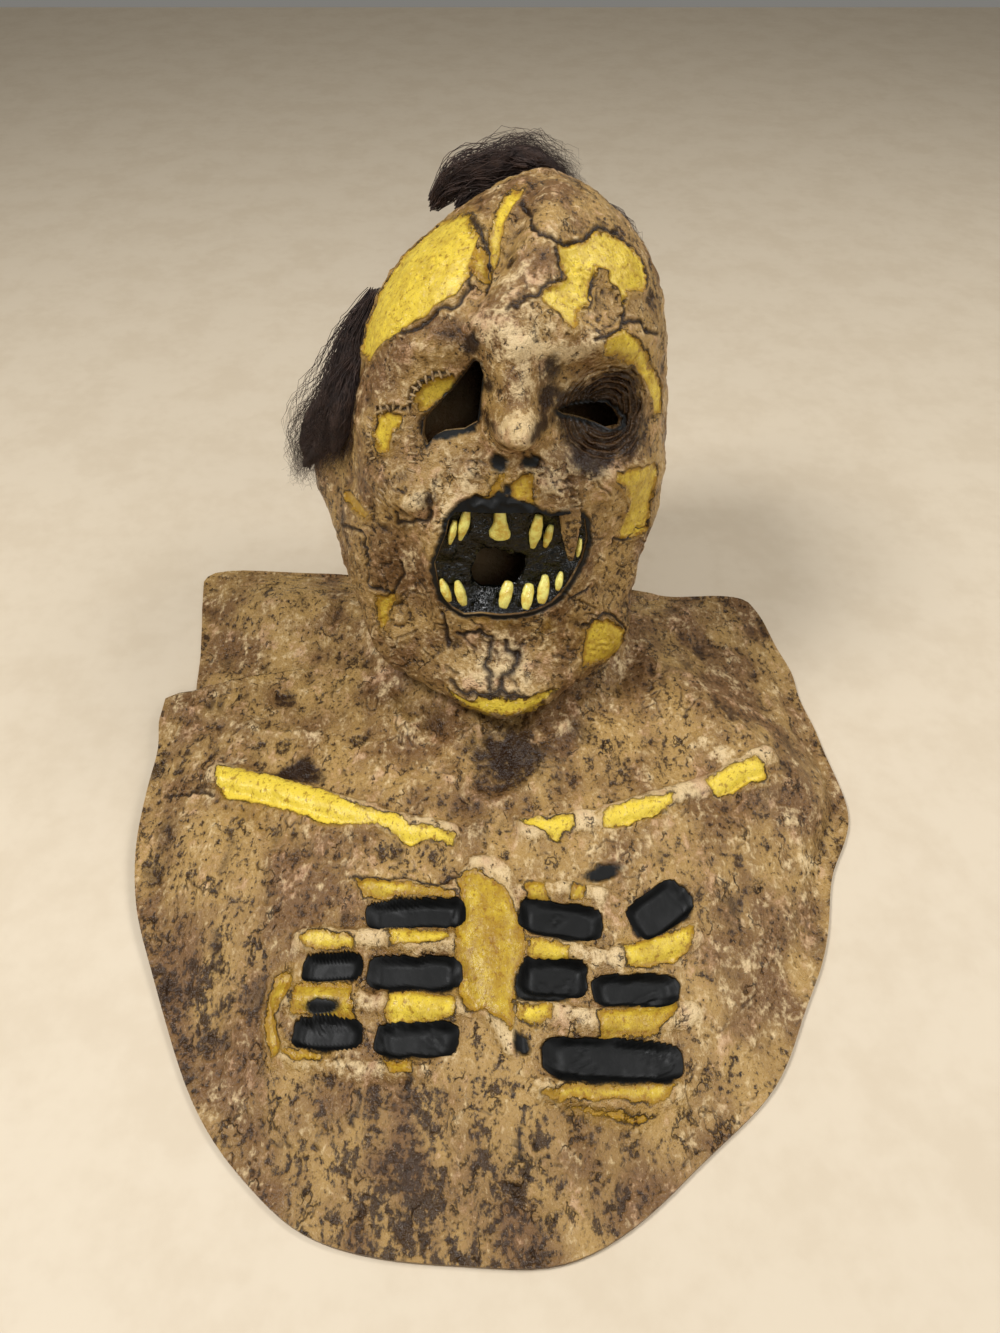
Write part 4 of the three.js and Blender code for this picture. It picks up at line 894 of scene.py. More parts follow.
# Teeth: name, root, tip, width and flare, as in the solid model.
TEETH = (
    ("tooth_upper_1", (-0.355, 0.319), (-0.395, 0.122), 0.055, 0.5),
    ("tooth_upper_2", (-0.27, 0.399), (-0.325, 0.142), 0.078, 0.45),
    ("tooth_upper_3", (-0.044, 0.5), (-0.049, 0.15), 0.085, 1.9),
    ("tooth_upper_4", (0.216, 0.364), (0.181, 0.053), 0.09, 0.5),
    ("tooth_upper_5", (0.308, 0.25), (0.268, 0.06), 0.062, 0.6),
    ("tooth_upper_6", (0.515, 0.13), (0.5, -0.024), 0.04, 0.6),
    ("tooth_lower_1", (-0.41, -0.379), (-0.466, -0.189), 0.066, 0.5),
    ("tooth_lower_2", (-0.306, -0.424), (-0.355, -0.214), 0.08, 0.6),
    ("tooth_lower_3", (-0.025, -0.446), (0.0175, -0.233), 0.095, 0.75),
    ("tooth_lower_4", (0.139, -0.456), (0.165, -0.258), 0.09, 0.75),
    ("tooth_lower_5", (0.25, -0.411), (0.28, -0.185), 0.088, 0.6),
    ("tooth_lower_6", (0.366, -0.3), (0.388, -0.15), 0.056, 0.6),
)


@dataclass(frozen=True)
class Tuft:
    """One tuft of hair: its CAD node, strands in each lock, and its locks.

    A lock is a row of places given by bearing in degrees, rise as a share of the head's height,
    and stand-off as a share of the tuft's length.
    """

    node: str
    strands: int
    spread: float
    locks: tuple[tuple[tuple[float, float, float], ...], ...]


TUFT_LENGTH = 92.0
TUFTS = (
    Tuft("hair_tuft_top", 260, 10, (
        ((-112, 0.905, 0.13), (-112, 0.945, 0.17), (-138, 0.97, 0.12), (-165, 0.98, 0.13), (156, 0.94, 0.13)),
        ((-128, 0.91, 0.05), (-150, 0.945, 0.11), (180, 0.95, 0.11), (150, 0.92, 0.06)),
        ((-150, 0.99, 0.03), (-150, 0.96, 0.1), (-154, 0.91, 0.1), (-158, 0.86, 0.03)))),
    Tuft("hair_tuft_left", 260, 12, (
        ((-92, 0.77, 0.02), (-88, 0.68, 0.06), (-82, 0.6, 0.07), (-86, 0.51, 0.08), (-94, 0.41, 0.08)),
        ((-101, 0.76, 0.02), (-99, 0.66, 0.09), (-97, 0.57, 0.11), (-98, 0.48, 0.11), (-102, 0.39, 0.08)),
        ((-80, 0.66, 0.01), (-76, 0.61, 0.05), (-78, 0.55, 0.06), (-84, 0.47, 0.05)))),
    Tuft("hair_tuft_right", 96, 5.5, (
        ((132, 0.93, 0.01), (127, 0.9, 0.04), (122, 0.87, 0.04), (114, 0.83, 0.01)),
        ((142, 0.9, 0.01), (134, 0.875, 0.05), (127, 0.85, 0.03), (122, 0.82, 0.01)))),
)


FAR = 6.0
MARK_NAMES = ("bone", "tint", "ink_and_shade", "crack", "tone", "yolk", "soot", "relief")


@dataclass
class Marks:
    """Painted and sculpted marks of some surface places, one value for each place.

    bone and ink are distances into a painted patch, some of the black ones painted shade, crack the distance
    from the nearest crack. soot and tone hold painted shade and painted light as well as darker and paler
    paint.
    """

    bone: Array
    tint: Array
    ink_and_shade: Array
    crack: Array
    tone: Array
    yolk: Array
    soot: Array
    relief: Array


def ragged(pixels: tuple, pace: float = 4.0, shake: float = 1.3) -> list[tuple[float, float]]:
    """Makes a line of the photograph as jagged as a real crack.

    Args:
        pixels: The line's corners.
        pace: Distance between new corners in pixels.
        shake: How far each moves, in pixels.

    Returns:
        The new corners.
    """
    line = np.array(pixels, float)
    run = lengths(line)
    at = np.linspace(0, run[-1], max(int(run[-1] / pace), 2) + 1)
    dealt = np.random.default_rng(int(line.sum())).normal(0, shake, (len(at), 2))
    return (np.stack([np.interp(at, run, line[:, k]) for k in (0, 1)], -1) + dealt).tolist()


def stray_cracks() -> list[tuple[Region, list[tuple[float, float]]]]:
    """Deals short wandering cracks over the face and the bib.

    Returns:
        Regions and lines in pixels.
    """
    dealt, found = np.random.default_rng(11), []
    for region, (left, top, right, bottom), many in STRAY_FIELDS:
        for _ in range(many):
            spot = dealt.uniform((left, top), (right, bottom))
            heading, line = dealt.uniform(0, 2 * math.pi), []
            for _ in range(dealt.integers(3, 9)):
                line.append(tuple(spot))
                heading += dealt.normal(0, 0.8)
                spot = spot + dealt.uniform(3, 7) * np.array([math.cos(heading), math.sin(heading)])
            found.append((region, line))
    return found


class Sculptor:
    """Turns the marks read off the photograph into paint and relief on the surface."""

    def __init__(self, form: MaskForm, camera: PhotoCamera) -> None:
        """Lays both charts out and finds every mark on them.

        Args:
            form: The mask's surface.
            camera: The photograph's camera.
        """
        self.form = form
        self.charts = {region: Chart(form, camera, region) for region in Region}
        self.bones = self.lines(BONE_PATCHES)
        self.inks_and_shades = self.lines(INK_AND_SHADE_PATCHES)
        self.cracks = self.lines([(region, ragged(line)) for region, line in CRACKS])
        self.strays = self.lines(stray_cracks())
        self.ridges = self.lines(RIDGES)
        self.pits, self.knobs, self.tones, self.yolks, self.soots, self.smudges = (
            self.spots(rows) for rows in (PITS, KNOBS, TONES_AND_PAINTED_LIGHT, YOLK, DARK_WASH_AND_SHADE, SMUDGES))
        self.rims = mouth_and_eyes()
        self.lid = self.charts[Region.HEAD].pick([RIGHT_LID])[0][0]

    def lines(self, rows: tuple | list) -> list[tuple]:
        """Lays the lines or outlines of a table out on their charts."""
        return [(region, self.charts[region].pick(list(line))[0], *rest) for region, line, *rest in rows]

    def spots(self, rows: tuple | list) -> list[tuple]:
        """Lays the single places of a table out on their charts."""
        return [(region, self.charts[region].pick([(x, y)])[0][0], *rest) for region, x, y, *rest in rows]

    @staticmethod
    def on(region: Region, rows: list[tuple]) -> list[list]:
        """The rows that lie on one chart, without their region."""
        return [rest for where, *rest in rows if where is region]

    def spot(self, region: Region, pixel: tuple[int, int]) -> Array:
        """Finds one pixel of the photograph on the smooth surface."""
        place = self.charts[region].pick([pixel])[1]
        return self.form.skin(place[:, 0], place[:, 1])[0][0, 0]

    def marks(self, region: Region, spots: Array, points: Array) -> Marks:
        """Works out every mark of some places.

        Args:
            region: The chart the places are on.
            spots: Their chart places.
            points: Their places in space, for the noise.

        Returns:
            The marks.
        """
        drift = np.stack([lattice_noise(points, 3.2, 1), lattice_noise(points, 3.2, 2)], -1) * 0.9
        drift += np.stack([lattice_noise(points, 9, 3), lattice_noise(points, 9, 4)], -1) * 1.1
        torn = spots + drift
        bone, tint = np.full(spots.shape[:-1], -FAR), np.zeros(spots.shape[:-1])
        for corners, value in self.on(region, self.bones):
            distance = outline_distance(torn, corners, FAR)
            tint = np.where(distance > bone, value, tint)
            bone = np.maximum(bone, distance)
        ink_and_shade = np.full(spots.shape[:-1], -FAR)
        for (corners,) in self.on(region, self.inks_and_shades):
            ink_and_shade = np.maximum(ink_and_shade, outline_distance(torn, corners, FAR))
        for spot, a, b, turn in self.on(region, self.smudges):
            gap = torn - spot
            ink_and_shade = np.maximum(ink_and_shade, 6 * bump(gap[..., 0], gap[..., 1], a, b, turn) - 3.5)
        if region is Region.HEAD:
            d = points - self.form.chin
            plane = np.stack([d @ self.form.X, d @ self.form.up], -1) + 0.8 * drift
            for corners, margin in self.rims:
                rim = np.where(d @ self.form.ahead > 0, outline_distance(plane, corners, 12.0) + margin, -FAR)
                ink_and_shade = np.maximum(ink_and_shade, np.clip(rim, -FAR, FAR))
        crack = np.full(spots.shape[:-1], FAR)
        for lines, thinner in ((self.cracks, 0), (self.strays, 0.7)):
            for (line,) in self.on(region, lines):
                crack = np.minimum(crack, thinner + line_distance(spots, line, FAR))
        chest = self.chest(spots, points) if region is Region.BIB else (0, 0)
        ink_and_shade = np.maximum(ink_and_shade, np.minimum(chest[1] * 40 - FAR, FAR))
        relief = self.relief(region, spots, points, bone, ink_and_shade, crack, chest)
        # Pale and dark marks, painted light and painted shade among them, and yellowed places.
        tone, yolk, soot = (sum(
            (depth * np.exp(-np.sum((spots - spot) ** 2, -1) / size ** 2)
             for spot, size, depth in self.on(region, rows)), 0 * bone)
            for rows in (self.tones, self.yolks, self.soots))
        return Marks(bone, tint, ink_and_shade, crack, tone, yolk, soot, relief)

    def relief(self, region: Region, spots: Array, points: Array, bone: Array,
               ink_and_shade: Array, crack: Array, chest: tuple[Array, Array]) -> Array:
        """Height of the sculpted relief above the smooth surface.

        Args:
            region: The chart the places are on.
            spots: Chart places.
            points: Places in space.
            bone: Distances into the painted bones.
            ink_and_shade: Distances into the black paint and into the painted shade of the nostrils and the
                left eye hole's lower edge.
            crack: Distances from the cracks.
            chest: Height of the rib cage's bones and share of its pockets' depth.

        Returns:
            Heights in millimetres.
        """
        drawn = points * np.array([1.0, 0.45, 1.0]) if region is Region.BIB else points
        lumps = 0.9 * lattice_noise(points, 14, 11) + 0.6 * lattice_noise(drawn, 5.5, 12)
        torn = lattice_noise(drawn, 9, 13) + 0.45 * lattice_noise(drawn, 4.2, 14)
        flakes = 0.4 - np.abs(torn) ** 0.7
        height = lumps + 1.25 * flakes + 0.3 * lattice_noise(points, 2.4, 15)
        calm = smooth(bone, -0.5, 2.0) * 0.6
        height = height * (1 - calm) * (1 - 0.9 * smooth(ink_and_shade, -2, 0.5))
        height += 0.9 * np.exp(-((bone + 1.2) / 1.3) ** 2) - 0.55 * smooth(bone, 0, 1.6)
        height += 0.55 * np.exp(-((crack - 2.2) / 1.2) ** 2) - 1.0 * np.exp(-(crack / 1.1) ** 2)
        for line, half, tall in self.on(region, self.ridges):
            gap = line_distance(spots, line, 3 * half) / half
            height += tall * np.exp(-gap ** 2)
        for spot, size in self.on(region, self.pits):
            gap = np.linalg.norm(spots - spot, axis=-1) / size
            height += 0.5 * np.exp(-((gap - 1.5) / 0.5) ** 2) - 1.3 * np.exp(-gap ** 2)
        for spot, size, tall in self.on(region, self.knobs):
            gap = np.linalg.norm(spots - spot, axis=-1) / size
            height += tall * (1 - smooth(gap, 0.4, 1.15)) - 0.8 * np.exp(-((gap - 1.25) / 0.2) ** 2)
        if region is Region.HEAD:
            lid = (spots - self.lid) / np.array([1.25, 1.0])
            ring = np.linalg.norm(lid, axis=-1)
            wobble = ring + 0.5 * lattice_noise(points, 6, 21)
            folds = np.cos(2 * math.pi * wobble / 3.4) * (1 - smooth(ring, 18, 26)) * smooth(ring, 2, 5)
            return height + 1.1 * folds
        return height + chest[0] - POCKET_DEPTH * chest[1]

    def chest(self, spots: Array, points: Array) -> tuple[Array, Array]:
        """Height of the rib cage's bones and depth of its pockets.

        Args:
            spots: Places of the bib seen from above.
            points: Places in space, for the noise.

        Returns:
            Heights of the bones in millimetres, and shares of the pockets' depth.
        """
        reach = self.form.bib.reach
        wavy = spots + 0.9 * np.stack([lattice_noise(points, 7, 31), lattice_noise(points, 7, 32)], -1)
        tall = np.zeros(spots.shape[:-1])
        for breadth, height, line in BONES:
            gap = line_distance(wavy, np.array(line) * reach, 12.0) / (breadth / 2)
            tall = np.maximum(tall, height * np.clip(1 - np.clip(gap, 0, 1) ** 2.6, 0, 1))
        for a, b in zip(STERNUM, STERNUM[1:]):
            run = (b[:2] - a[:2]) * reach
            t = np.clip(((wavy - a[:2] * reach) @ run) / (run @ run), 0, 1)
            gap = np.linalg.norm(wavy - a[:2] * reach - t[..., None] * run, axis=-1)
            half = (a[2] + (b[2] - a[2]) * t) * reach
            tall = np.maximum(tall, STERNUM_HEIGHT * np.clip(1 - (gap / half) ** 2.6, 0, 1))
        deep = np.zeros(spots.shape[:-1])
        for x, y, length, breadth, turn in POCKETS:
            a = math.radians(turn)
            d = wavy - np.array([x, y]) * reach
            u = (d[..., 0] * math.cos(a) + d[..., 1] * math.sin(a)) / (length * reach / 2)
            w = (-d[..., 0] * math.sin(a) + d[..., 1] * math.cos(a)) / (breadth * reach / 2)
            q = (np.abs(u) ** 5 + np.abs(w) ** 5) ** (1 / 5)
            deep = np.maximum(deep, 1 - smooth(q, 0.74, 1.16))
        return tall * (1 - deep), deep


def linear(code: str) -> tuple[float, float, float, float]:
    """Turns an sRGB hex colour into linear light.

    Args:
        code: A colour such as "#977a52".

    Returns:
        Red, green, blue and alpha.
    """
    parts = [int(code[i:i + 2], 16) / 255 for i in (1, 3, 5)]
    lit = [c / 12.92 if c <= 0.04045 else ((c + 0.055) / 1.055) ** 2.4 for c in parts]
    return (*lit, 1.0)


class Book:
    """Adds nodes to one node tree and links them."""

    def __init__(self, tree: bpy.types.NodeTree) -> None:
        """Keeps the tree that the nodes go in."""
        self.tree = tree

    def add(self, kind: str, inputs: dict | None = None, output: int | str = 0,
            **settings: object) -> Socket | None:
        """Adds one node with its settings and links.

        Args:
            kind: The node's type.
            inputs: Values or sockets for its inputs, by name or number.
            output: Which of its outputs is wanted.
            settings: Properties of the node.

        Returns:
            That output's socket, or None for a node without one.
        """
        node = self.tree.nodes.new(kind)
        for key, value in settings.items():
            setattr(node, key, value)
        for key, value in (inputs or {}).items():
            if isinstance(value, Socket):
                self.tree.links.new(value, node.inputs[key])
            else:
                node.inputs[key].default_value = value
        return node.outputs[output] if node.outputs else None

    def total(self, start: object, *terms: tuple[object, object]) -> Socket:
        """Adds weighted values up.

        Args:
            start: Value or socket to start from.
            terms: Pairs of a value and its weight, either of them a socket.

        Returns:
            The total's socket.
        """
        for value, weight in terms:
            start = self.add("ShaderNodeMath", {0: value, 1: weight, 2: start}, operation="MULTIPLY_ADD")
        return start


class ShaderBook(Book):
    """Nodes of a material whose patterns are given in real millimetres."""

    def __init__(self, material: bpy.types.Material) -> None:
        """Starts from an empty tree with object coordinates."""
        material.use_nodes = True
        super().__init__(material.node_tree)
        self.tree.nodes.clear()
        self.place = self.add("ShaderNodeTexCoord", output="Object")

    def mottling(self, *patterns: tuple[float, float, float]) -> list[Socket]:
        """Adds patterns of soft spots between 0 and 1.

        Args:
            patterns: Size of the spots in millimetres, octaves of finer ones, and their strength.

        Returns:
            One socket for each pattern.
        """
        return [self.add("ShaderNodeTexNoise", {"Vector": self.place, "Scale": 1 / (size * METRES),
                                                "Detail": octaves, "Roughness": strength})
                for size, octaves, strength in patterns]

    def where(self, *limits: tuple | Socket) -> Socket:
        """Finds where every value is past its limit.

        Args:
            limits: A value, where its smooth step starts and ends, and what it goes from and to, 0 and 1 if
                left out. A share that is already there is given as its socket.

        Returns:
            The product of the steps.
        """
        share = None
        for limit in limits:
            if not isinstance(limit, Socket):
                value, low, high, start, end = (*limit, 0, 1)[:5]
                limit = self.add("ShaderNodeMapRange", {"Value": value, "From Min": low, "From Max": high,
                                                        "To Min": start, "To Max": end},
                                 interpolation_type="SMOOTHSTEP")
            share = self.total(0, (share, limit)) if share else limit
        return share

    def coats(self, colour: Socket | str, *rows: tuple) -> Socket:
        """Lays coats of paint over a colour.

        Args:
            colour: Hex colour or socket of what is painted.
            rows: Hex colour or socket of each coat, and the limits that say where it lies.

        Returns:
            The painted colour's socket.
        """
        for paint, *limits in rows:
            under, over = (linear(c) if isinstance(c, str) else c for c in (colour, paint))
            colour = self.add("ShaderNodeMix", {0: self.where(*limits), 6: under, 7: over}, 2,
                              data_type="RGBA")
        return colour

    def finish(self, colour: Socket, roughness: object, height: Socket, depth: float,
               **constants: float) -> None:
        """Ends the tree in a surface.

        Args:
            colour: The colour's socket.
            roughness: Roughness or its socket.
            height: Height of the fine texture, between 0 and 1.
            depth: How deep that texture is, in millimetres.
            constants: Further constant inputs of the surface.
        """
        normal = self.add("ShaderNodeBump", {"Height": height, "Distance": depth * METRES, "Strength": 1.0})
        surface = self.add("ShaderNodeBsdfPrincipled", {
            "Base Color": colour, "Roughness": roughness, "Normal": normal,
            **{key.replace("_", " "): value for key, value in constants.items()}})
        self.add("ShaderNodeOutputMaterial", {"Surface": surface})


@dataclass(frozen=True)
class PaintedLatex:
    """Cast latex under several thin coats of paint.

    The eye sees a mottled tan with darker brown speckles, pinkish cream on the raised bits and dark brown in
    the hollows, thin near-black cracks, pale yellow bone with ochre streaks and dark outlines, and black
    pockets. The cream on the raised bits is partly dry-brushed paint and partly painted highlight, the dark
    in the hollows partly wash and partly painted shade; painted shade also darkens the sides of the nose, the
    nostrils and the neck under the chin, and painted light makes the face and chin paler.
    """

    name: str = "painted_latex_rubber"
    tan: str = "#aa8850"
    brown: str = "#735330"
    deep: str = "#33200e"
    cream: str = "#e0c596"
    blush: str = "#c09270"
    bone: str = "#e4c844"
    ochre: str = "#9c7620"
    rust: str = "#865a14"
    outline: str = "#241507"
    ink_and_shade: str = "#010202"
    # Colour of the lids' dark paint and of the painted shade beside the nose and under the chin.
    soot: str = "#261508"
    lining: str = "#7d6543"
    fine_depth: float = 1.3
    lid_fold: float = 11.0
    lid: tuple[float, float, float] = (0.0, 0.0, 0.0)

    def make(self) -> bpy.types.Material:
        """Builds the material.

        Returns:
            The material.
        """
        material = bpy.data.materials.new(self.name)
        book = ShaderBook(material)
        folds, near = self.lid_folds(book)
        self.drape(book, low=20, high=110, pull=0.68)
        broad, middle, fine, grain, blotch, net, gaps, stains, edges = book.mottling(
            (34, 4, 0.55), (8, 4, 0.68), (2.8, 3, 0.65), (0.9, 2, 0.6), (15, 3, 0.55), (17, 4, 0.62),
            (11, 3, 0.55), (19, 2, 0.55), (13, 2, 0.55))
        bone, tint, ink_and_shade, crack, tone, yolk, soot, relief, inside = (
            book.add("ShaderNodeAttribute", output="Fac", attribute_name=name)
            for name in (*MARK_NAMES, "inside"))
        # light sums the pale and dark marks, the sculpted relief and the mottling, so raised bits come out
        # paler and hollows darker: painted highlight and painted shade along with the paint's dry-brushing
        # and wash.
        light = book.total(-2.25, (tone, 0.45), (relief, 0.22), (middle, 2.3), (fine, 2.2))
        away = book.add("ShaderNodeMath", {0: book.total(-0.5, (net, 1.0))}, operation="ABSOLUTE")
        crease = (away, 0.026, 0.002), (gaps, 0.5, 0.62)
        stained = book.total(book.where((bone, -4.5, -0.5, 0, 0.35)),
                             (yolk, book.where((middle, 0.4, 0.62, 0.2, 0.9))))
        wash_and_shade_share = book.total(0, (soot, book.where((middle, 0.7, 0.42, 0.6, 1.2))))
        edge = book.total(-5.25, (bone, 1.0), (middle, 7.0), (fine, 3.5))
        worn = book.total(book.where((edge, 3.2, 0.3, 0, 0.6)), (tint, 1.0),
                          (book.total(-0.5, (middle, 1.0)), 1.6))
        inked_and_shaded = book.total(-1.5, (ink_and_shade, 1.0), (fine, 3.0))
        bones = book.coats(self.bone, (self.ochre, (worn, 0, 1.15)), (self.rust, (fine, 0.46, 0.32, 0, 0.7)),
                           (self.brown, (grain, 0.42, 0.3, 0, 0.5)), (self.cream, (fine, 0.6, 0.75, 0, 0.5)))
        lining = book.coats(self.brown, (self.lining, (broad, 0.4, 0.6)))
        colour = book.coats(
            self.brown,
            (self.tan, (broad, 0.36, 0.64)),
            # Painted highlight in cream on the raised bits and painted shade in deep brown in the hollows,
            # mixed with the paint's own cream and brown; the blush leans to the paler parts too.
            (self.cream, (light, 0.08, 0.95, 0, 0.9)),
            (self.deep, (light, -0.1, -0.55, 0, 0.92)),
            (self.blush, (blotch, 0.5, 0.66), (light, -0.1, 0.5, 0, 0.5)),
            (self.ochre, stained),
            (self.outline, crease[0], (*crease[1], 0, 0.85)),
            (self.outline, (fine, 0.4, 0.33), (stains, 0.42, 0.56, 0, 0.85)),
            (self.deep, (grain, 0.38, 0.27, 0, 0.6)),
            (self.cream, (grain, 0.64, 0.75, 0, 0.3)),
            # Dark brown over the dark marks: the lids' paint round the right eye, and painted shade beside
            # the nose and under the chin.
            (self.soot, (wash_and_shade_share, 0.12, 0.85, 0, 0.95)),
            # Painted shade: deep brown in the sculpted hollows, along with the brown wash.
            (self.deep, (relief, -0.4, -1.6, 0, 0.7)),
            (self.outline, (crack, 1.9, 0.3, 0, 0.85)),
            (self.outline, (edge, -1.4, -0.3), (edges, 0.42, 0.58, 0.1, 0.9)),
            (bones, (edge, -0.3, 0.6)),
            # Black paint, and painted shade along the left eye hole's lower edge and in the nostrils.
            (self.ink_and_shade, (inked_and_shaded, -1.8, 0.6)),
            (lining, inside),
            (self.brown, (folds, 0.55, 0.95, 0, 0.3), (inked_and_shaded, -1.8, 0.6, 1, 0)))
        rough = book.total(book.where((middle, 0.3, 0.7, 0.26, 0.42)), (book.where((inked_and_shaded, -1.8, 0.6)), 0.2),
                           (book.where((near, 0.03, 0.02)), -0.08))
        height = book.total(0, (middle, 0.9), (fine, 1.3), (grain, 0.3), (book.where(*crease), -0.4),
                            (folds, 0.9))
        calm = book.add("ShaderNodeMath", {0: book.where((edge, -0.3, 0.6, 1, 0.35)),
                                           1: book.where((inked_and_shaded, -1.8, 0.6, 1, 0.04))}, operation="MINIMUM")
        book.finish(colour, rough, book.total(0, (height, calm)), self.fine_depth, Specular_IOR_Level=0.3)
        return material

    def lid_folds(self, book: ShaderBook) -> tuple[Socket, Socket]:
        """Adds the fine folds that run round the swollen lid.

        Args:
            book: The material's nodes.

        Returns:
            Height of the folds, and the distance from the lid's middle in metres.
        """
        lid = book.add("ShaderNodeVectorMath", {0: book.place, 1: self.lid}, operation="SUBTRACT")
        near = book.add("ShaderNodeVectorMath", {0: lid}, "Value", operation="LENGTH")
        waves = book.add("ShaderNodeTexWave", {"Vector": lid, "Scale": 1 / (self.lid_fold * METRES),
                                               "Distortion": 5.0, "Detail": 3.0,
                                               "Detail Scale": 1.2},
                         "Fac", wave_type="RINGS", rings_direction="SPHERICAL")
        return book.where(waves, (near, 0.034, 0.024)), near

    def drape(self, book: ShaderBook, low: float, high: float, pull: float) -> None:
        """Draws the patterns out front to back below a height, as the bib hangs.

        Args:
            book: The material's nodes.
            low: Height in millimetres below which they are drawn out wholly.
            high: Height above which they aren't.
            pull: Scale front to back below.
        """
        parts = book.add("ShaderNodeSeparateXYZ", {0: book.place}).node.outputs
        drawn = book.total(0, (parts[1], book.where((parts[2], low * METRES, high * METRES, pull, 1))))
        book.place = book.add("ShaderNodeCombineXYZ", {0: parts[0], 1: drawn, 2: parts[2]})


@dataclass(frozen=True)
class PlainFinish:
    """A mottled finish of two colours.

    The eye sees one colour broken by patches and specks of the other, with a fine uneven surface.
    """

    name: str
    main: str
    second: str
    spot: float
    roughness: float
    depth: float = 0.2
    gloss: float = 0.0

    def make(self) -> bpy.types.Material:
        """Builds the material.

        Returns:
            The material.
        """
        material = bpy.data.materials.new(self.name)
        book = ShaderBook(material)
        broad, fine = book.mottling((self.spot, 4, 0.6), (self.spot / 5, 3, 0.55))
        share = book.total(0, (broad, 0.7), (fine, 0.3))
        colour = book.coats(self.main, (self.second, (share, 0.4, 0.64)))
        book.finish(colour, self.roughness, fine, self.depth, Coat_Weight=self.gloss)
        return material


# The eye sees black gum, wet and lumpy, with small sharp glints.
GUM_LATEX = PlainFinish("black_gum_latex", "#030404", "#080a09", 20, 0.12, 2.4)

# The eye sees waxy yellow teeth, stained darker in soft patches.
TOOTH_ENAMEL = PlainFinish("yellowed_tooth_enamel", "#f6ee84", "#dcb94a", 5, 0.28, 0.3, 0.3)

# The eye sees dull dark brown hair, matted and frizzy.
CREPE_HAIR = PlainFinish("dark_brown_crepe_hair", "#2e211d", "#4c382f", 7, 0.7, 0.6)

# The eye sees dark brown paint that has dried in the cracks.
CRACK_WASH = PlainFinish("dark_brown_paint_wash", "#1d130a", "#2f1f10", 3, 0.5, 0.1)

# The eye sees pale stitches cast in the latex, with brown dirt between them.
STITCH_LATEX = PlainFinish("pale_cast_stitches", "#a98d61", "#6d5232", 2.5, 0.45, 0.15)

# The eye sees a pale cream board, smooth and dull.
TABLE_TOP = PlainFinish("plain_cream_table", "#d5c6ae", "#cfbfa6", 60, 0.6, 0.02)


class Builder:
    """Makes closed pieces in the shared frame and seats them on the CAD's body."""

    def __init__(self, origin: Array) -> None:
        """Keeps where the neck's middle is."""
        self.origin = origin

    def mesh(self, name: str, points: Array, faces: list[Array],
             smooth_faces: int | None = None) -> bpy.types.Mesh:
        """Makes a mesh from points and faces.

        Args:
            name: The mesh's name.
            points: Points in the mask's millimetres.
            faces: Arrays of faces, each array with one number of corners.
            smooth_faces: How many faces are shaded smooth, all of them if None.

        Returns:
            The mesh.
        """
        mesh = bpy.data.meshes.new(name)
        corners = np.concatenate([f.reshape(-1) for f in faces])
        sizes = np.concatenate([np.full(len(f), f.shape[1]) for f in faces])
        mesh.vertices.add(len(points))
        mesh.vertices.foreach_set("co", ((points + self.origin) * METRES).astype(np.float32).ravel())
        mesh.loops.add(len(corners))
        mesh.loops.foreach_set("vertex_index", corners.astype(np.int32))
        mesh.polygons.add(len(sizes))
        mesh.polygons.foreach_set("loop_start", (np.cumsum(sizes) - sizes).astype(np.int32))
        flags = np.ones(len(sizes), bool)
        flags[smooth_faces if smooth_faces is not None else len(sizes):] = False
        mesh.polygons.foreach_set("use_smooth", flags)
        mesh.update(calc_edges=True)
        mesh.validate()
        return mesh

    def seat(self, name: str, mesh: bpy.types.Mesh, material: bpy.types.Material, nodes: tuple[str, ...]) -> bpy.types.Object:
        """Puts a finished mesh in the scene as one piece.

        Args:
            name: The piece's name.
            mesh: Its mesh.
            material: Its finish.
            nodes: The CAD nodes it stands for.

        Returns:
            The piece.
        """
        if not mesh.materials:
            mesh.materials.append(material)
        piece = bpy.data.objects.new(name, mesh)
        bpy.context.scene.collection.objects.link(piece)
        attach(piece, "root")
        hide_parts(*nodes)
        log.info("%s: %d triangles", name, sum(len(p.vertices) - 2 for p in mesh.polygons))
        return piece


def edge_loop(number: Array) -> Array:
    """Point numbers round the edge of a net."""
    return np.concatenate([number[:-1, 0], number[-1, :-1], number[:0:-1, -1], number[0, :0:-1]])


def net_faces(rows: int, columns: int, start: int = 0) -> Array:
    """Quads of a net of points, facing out where rows run down and columns to the right."""
    number = start + np.arange(rows * columns).reshape(rows, columns)
    return np.stack([number[:-1, :-1], number[1:, :-1], number[1:, 1:], number[:-1, 1:]], -1).reshape(-1, 4)


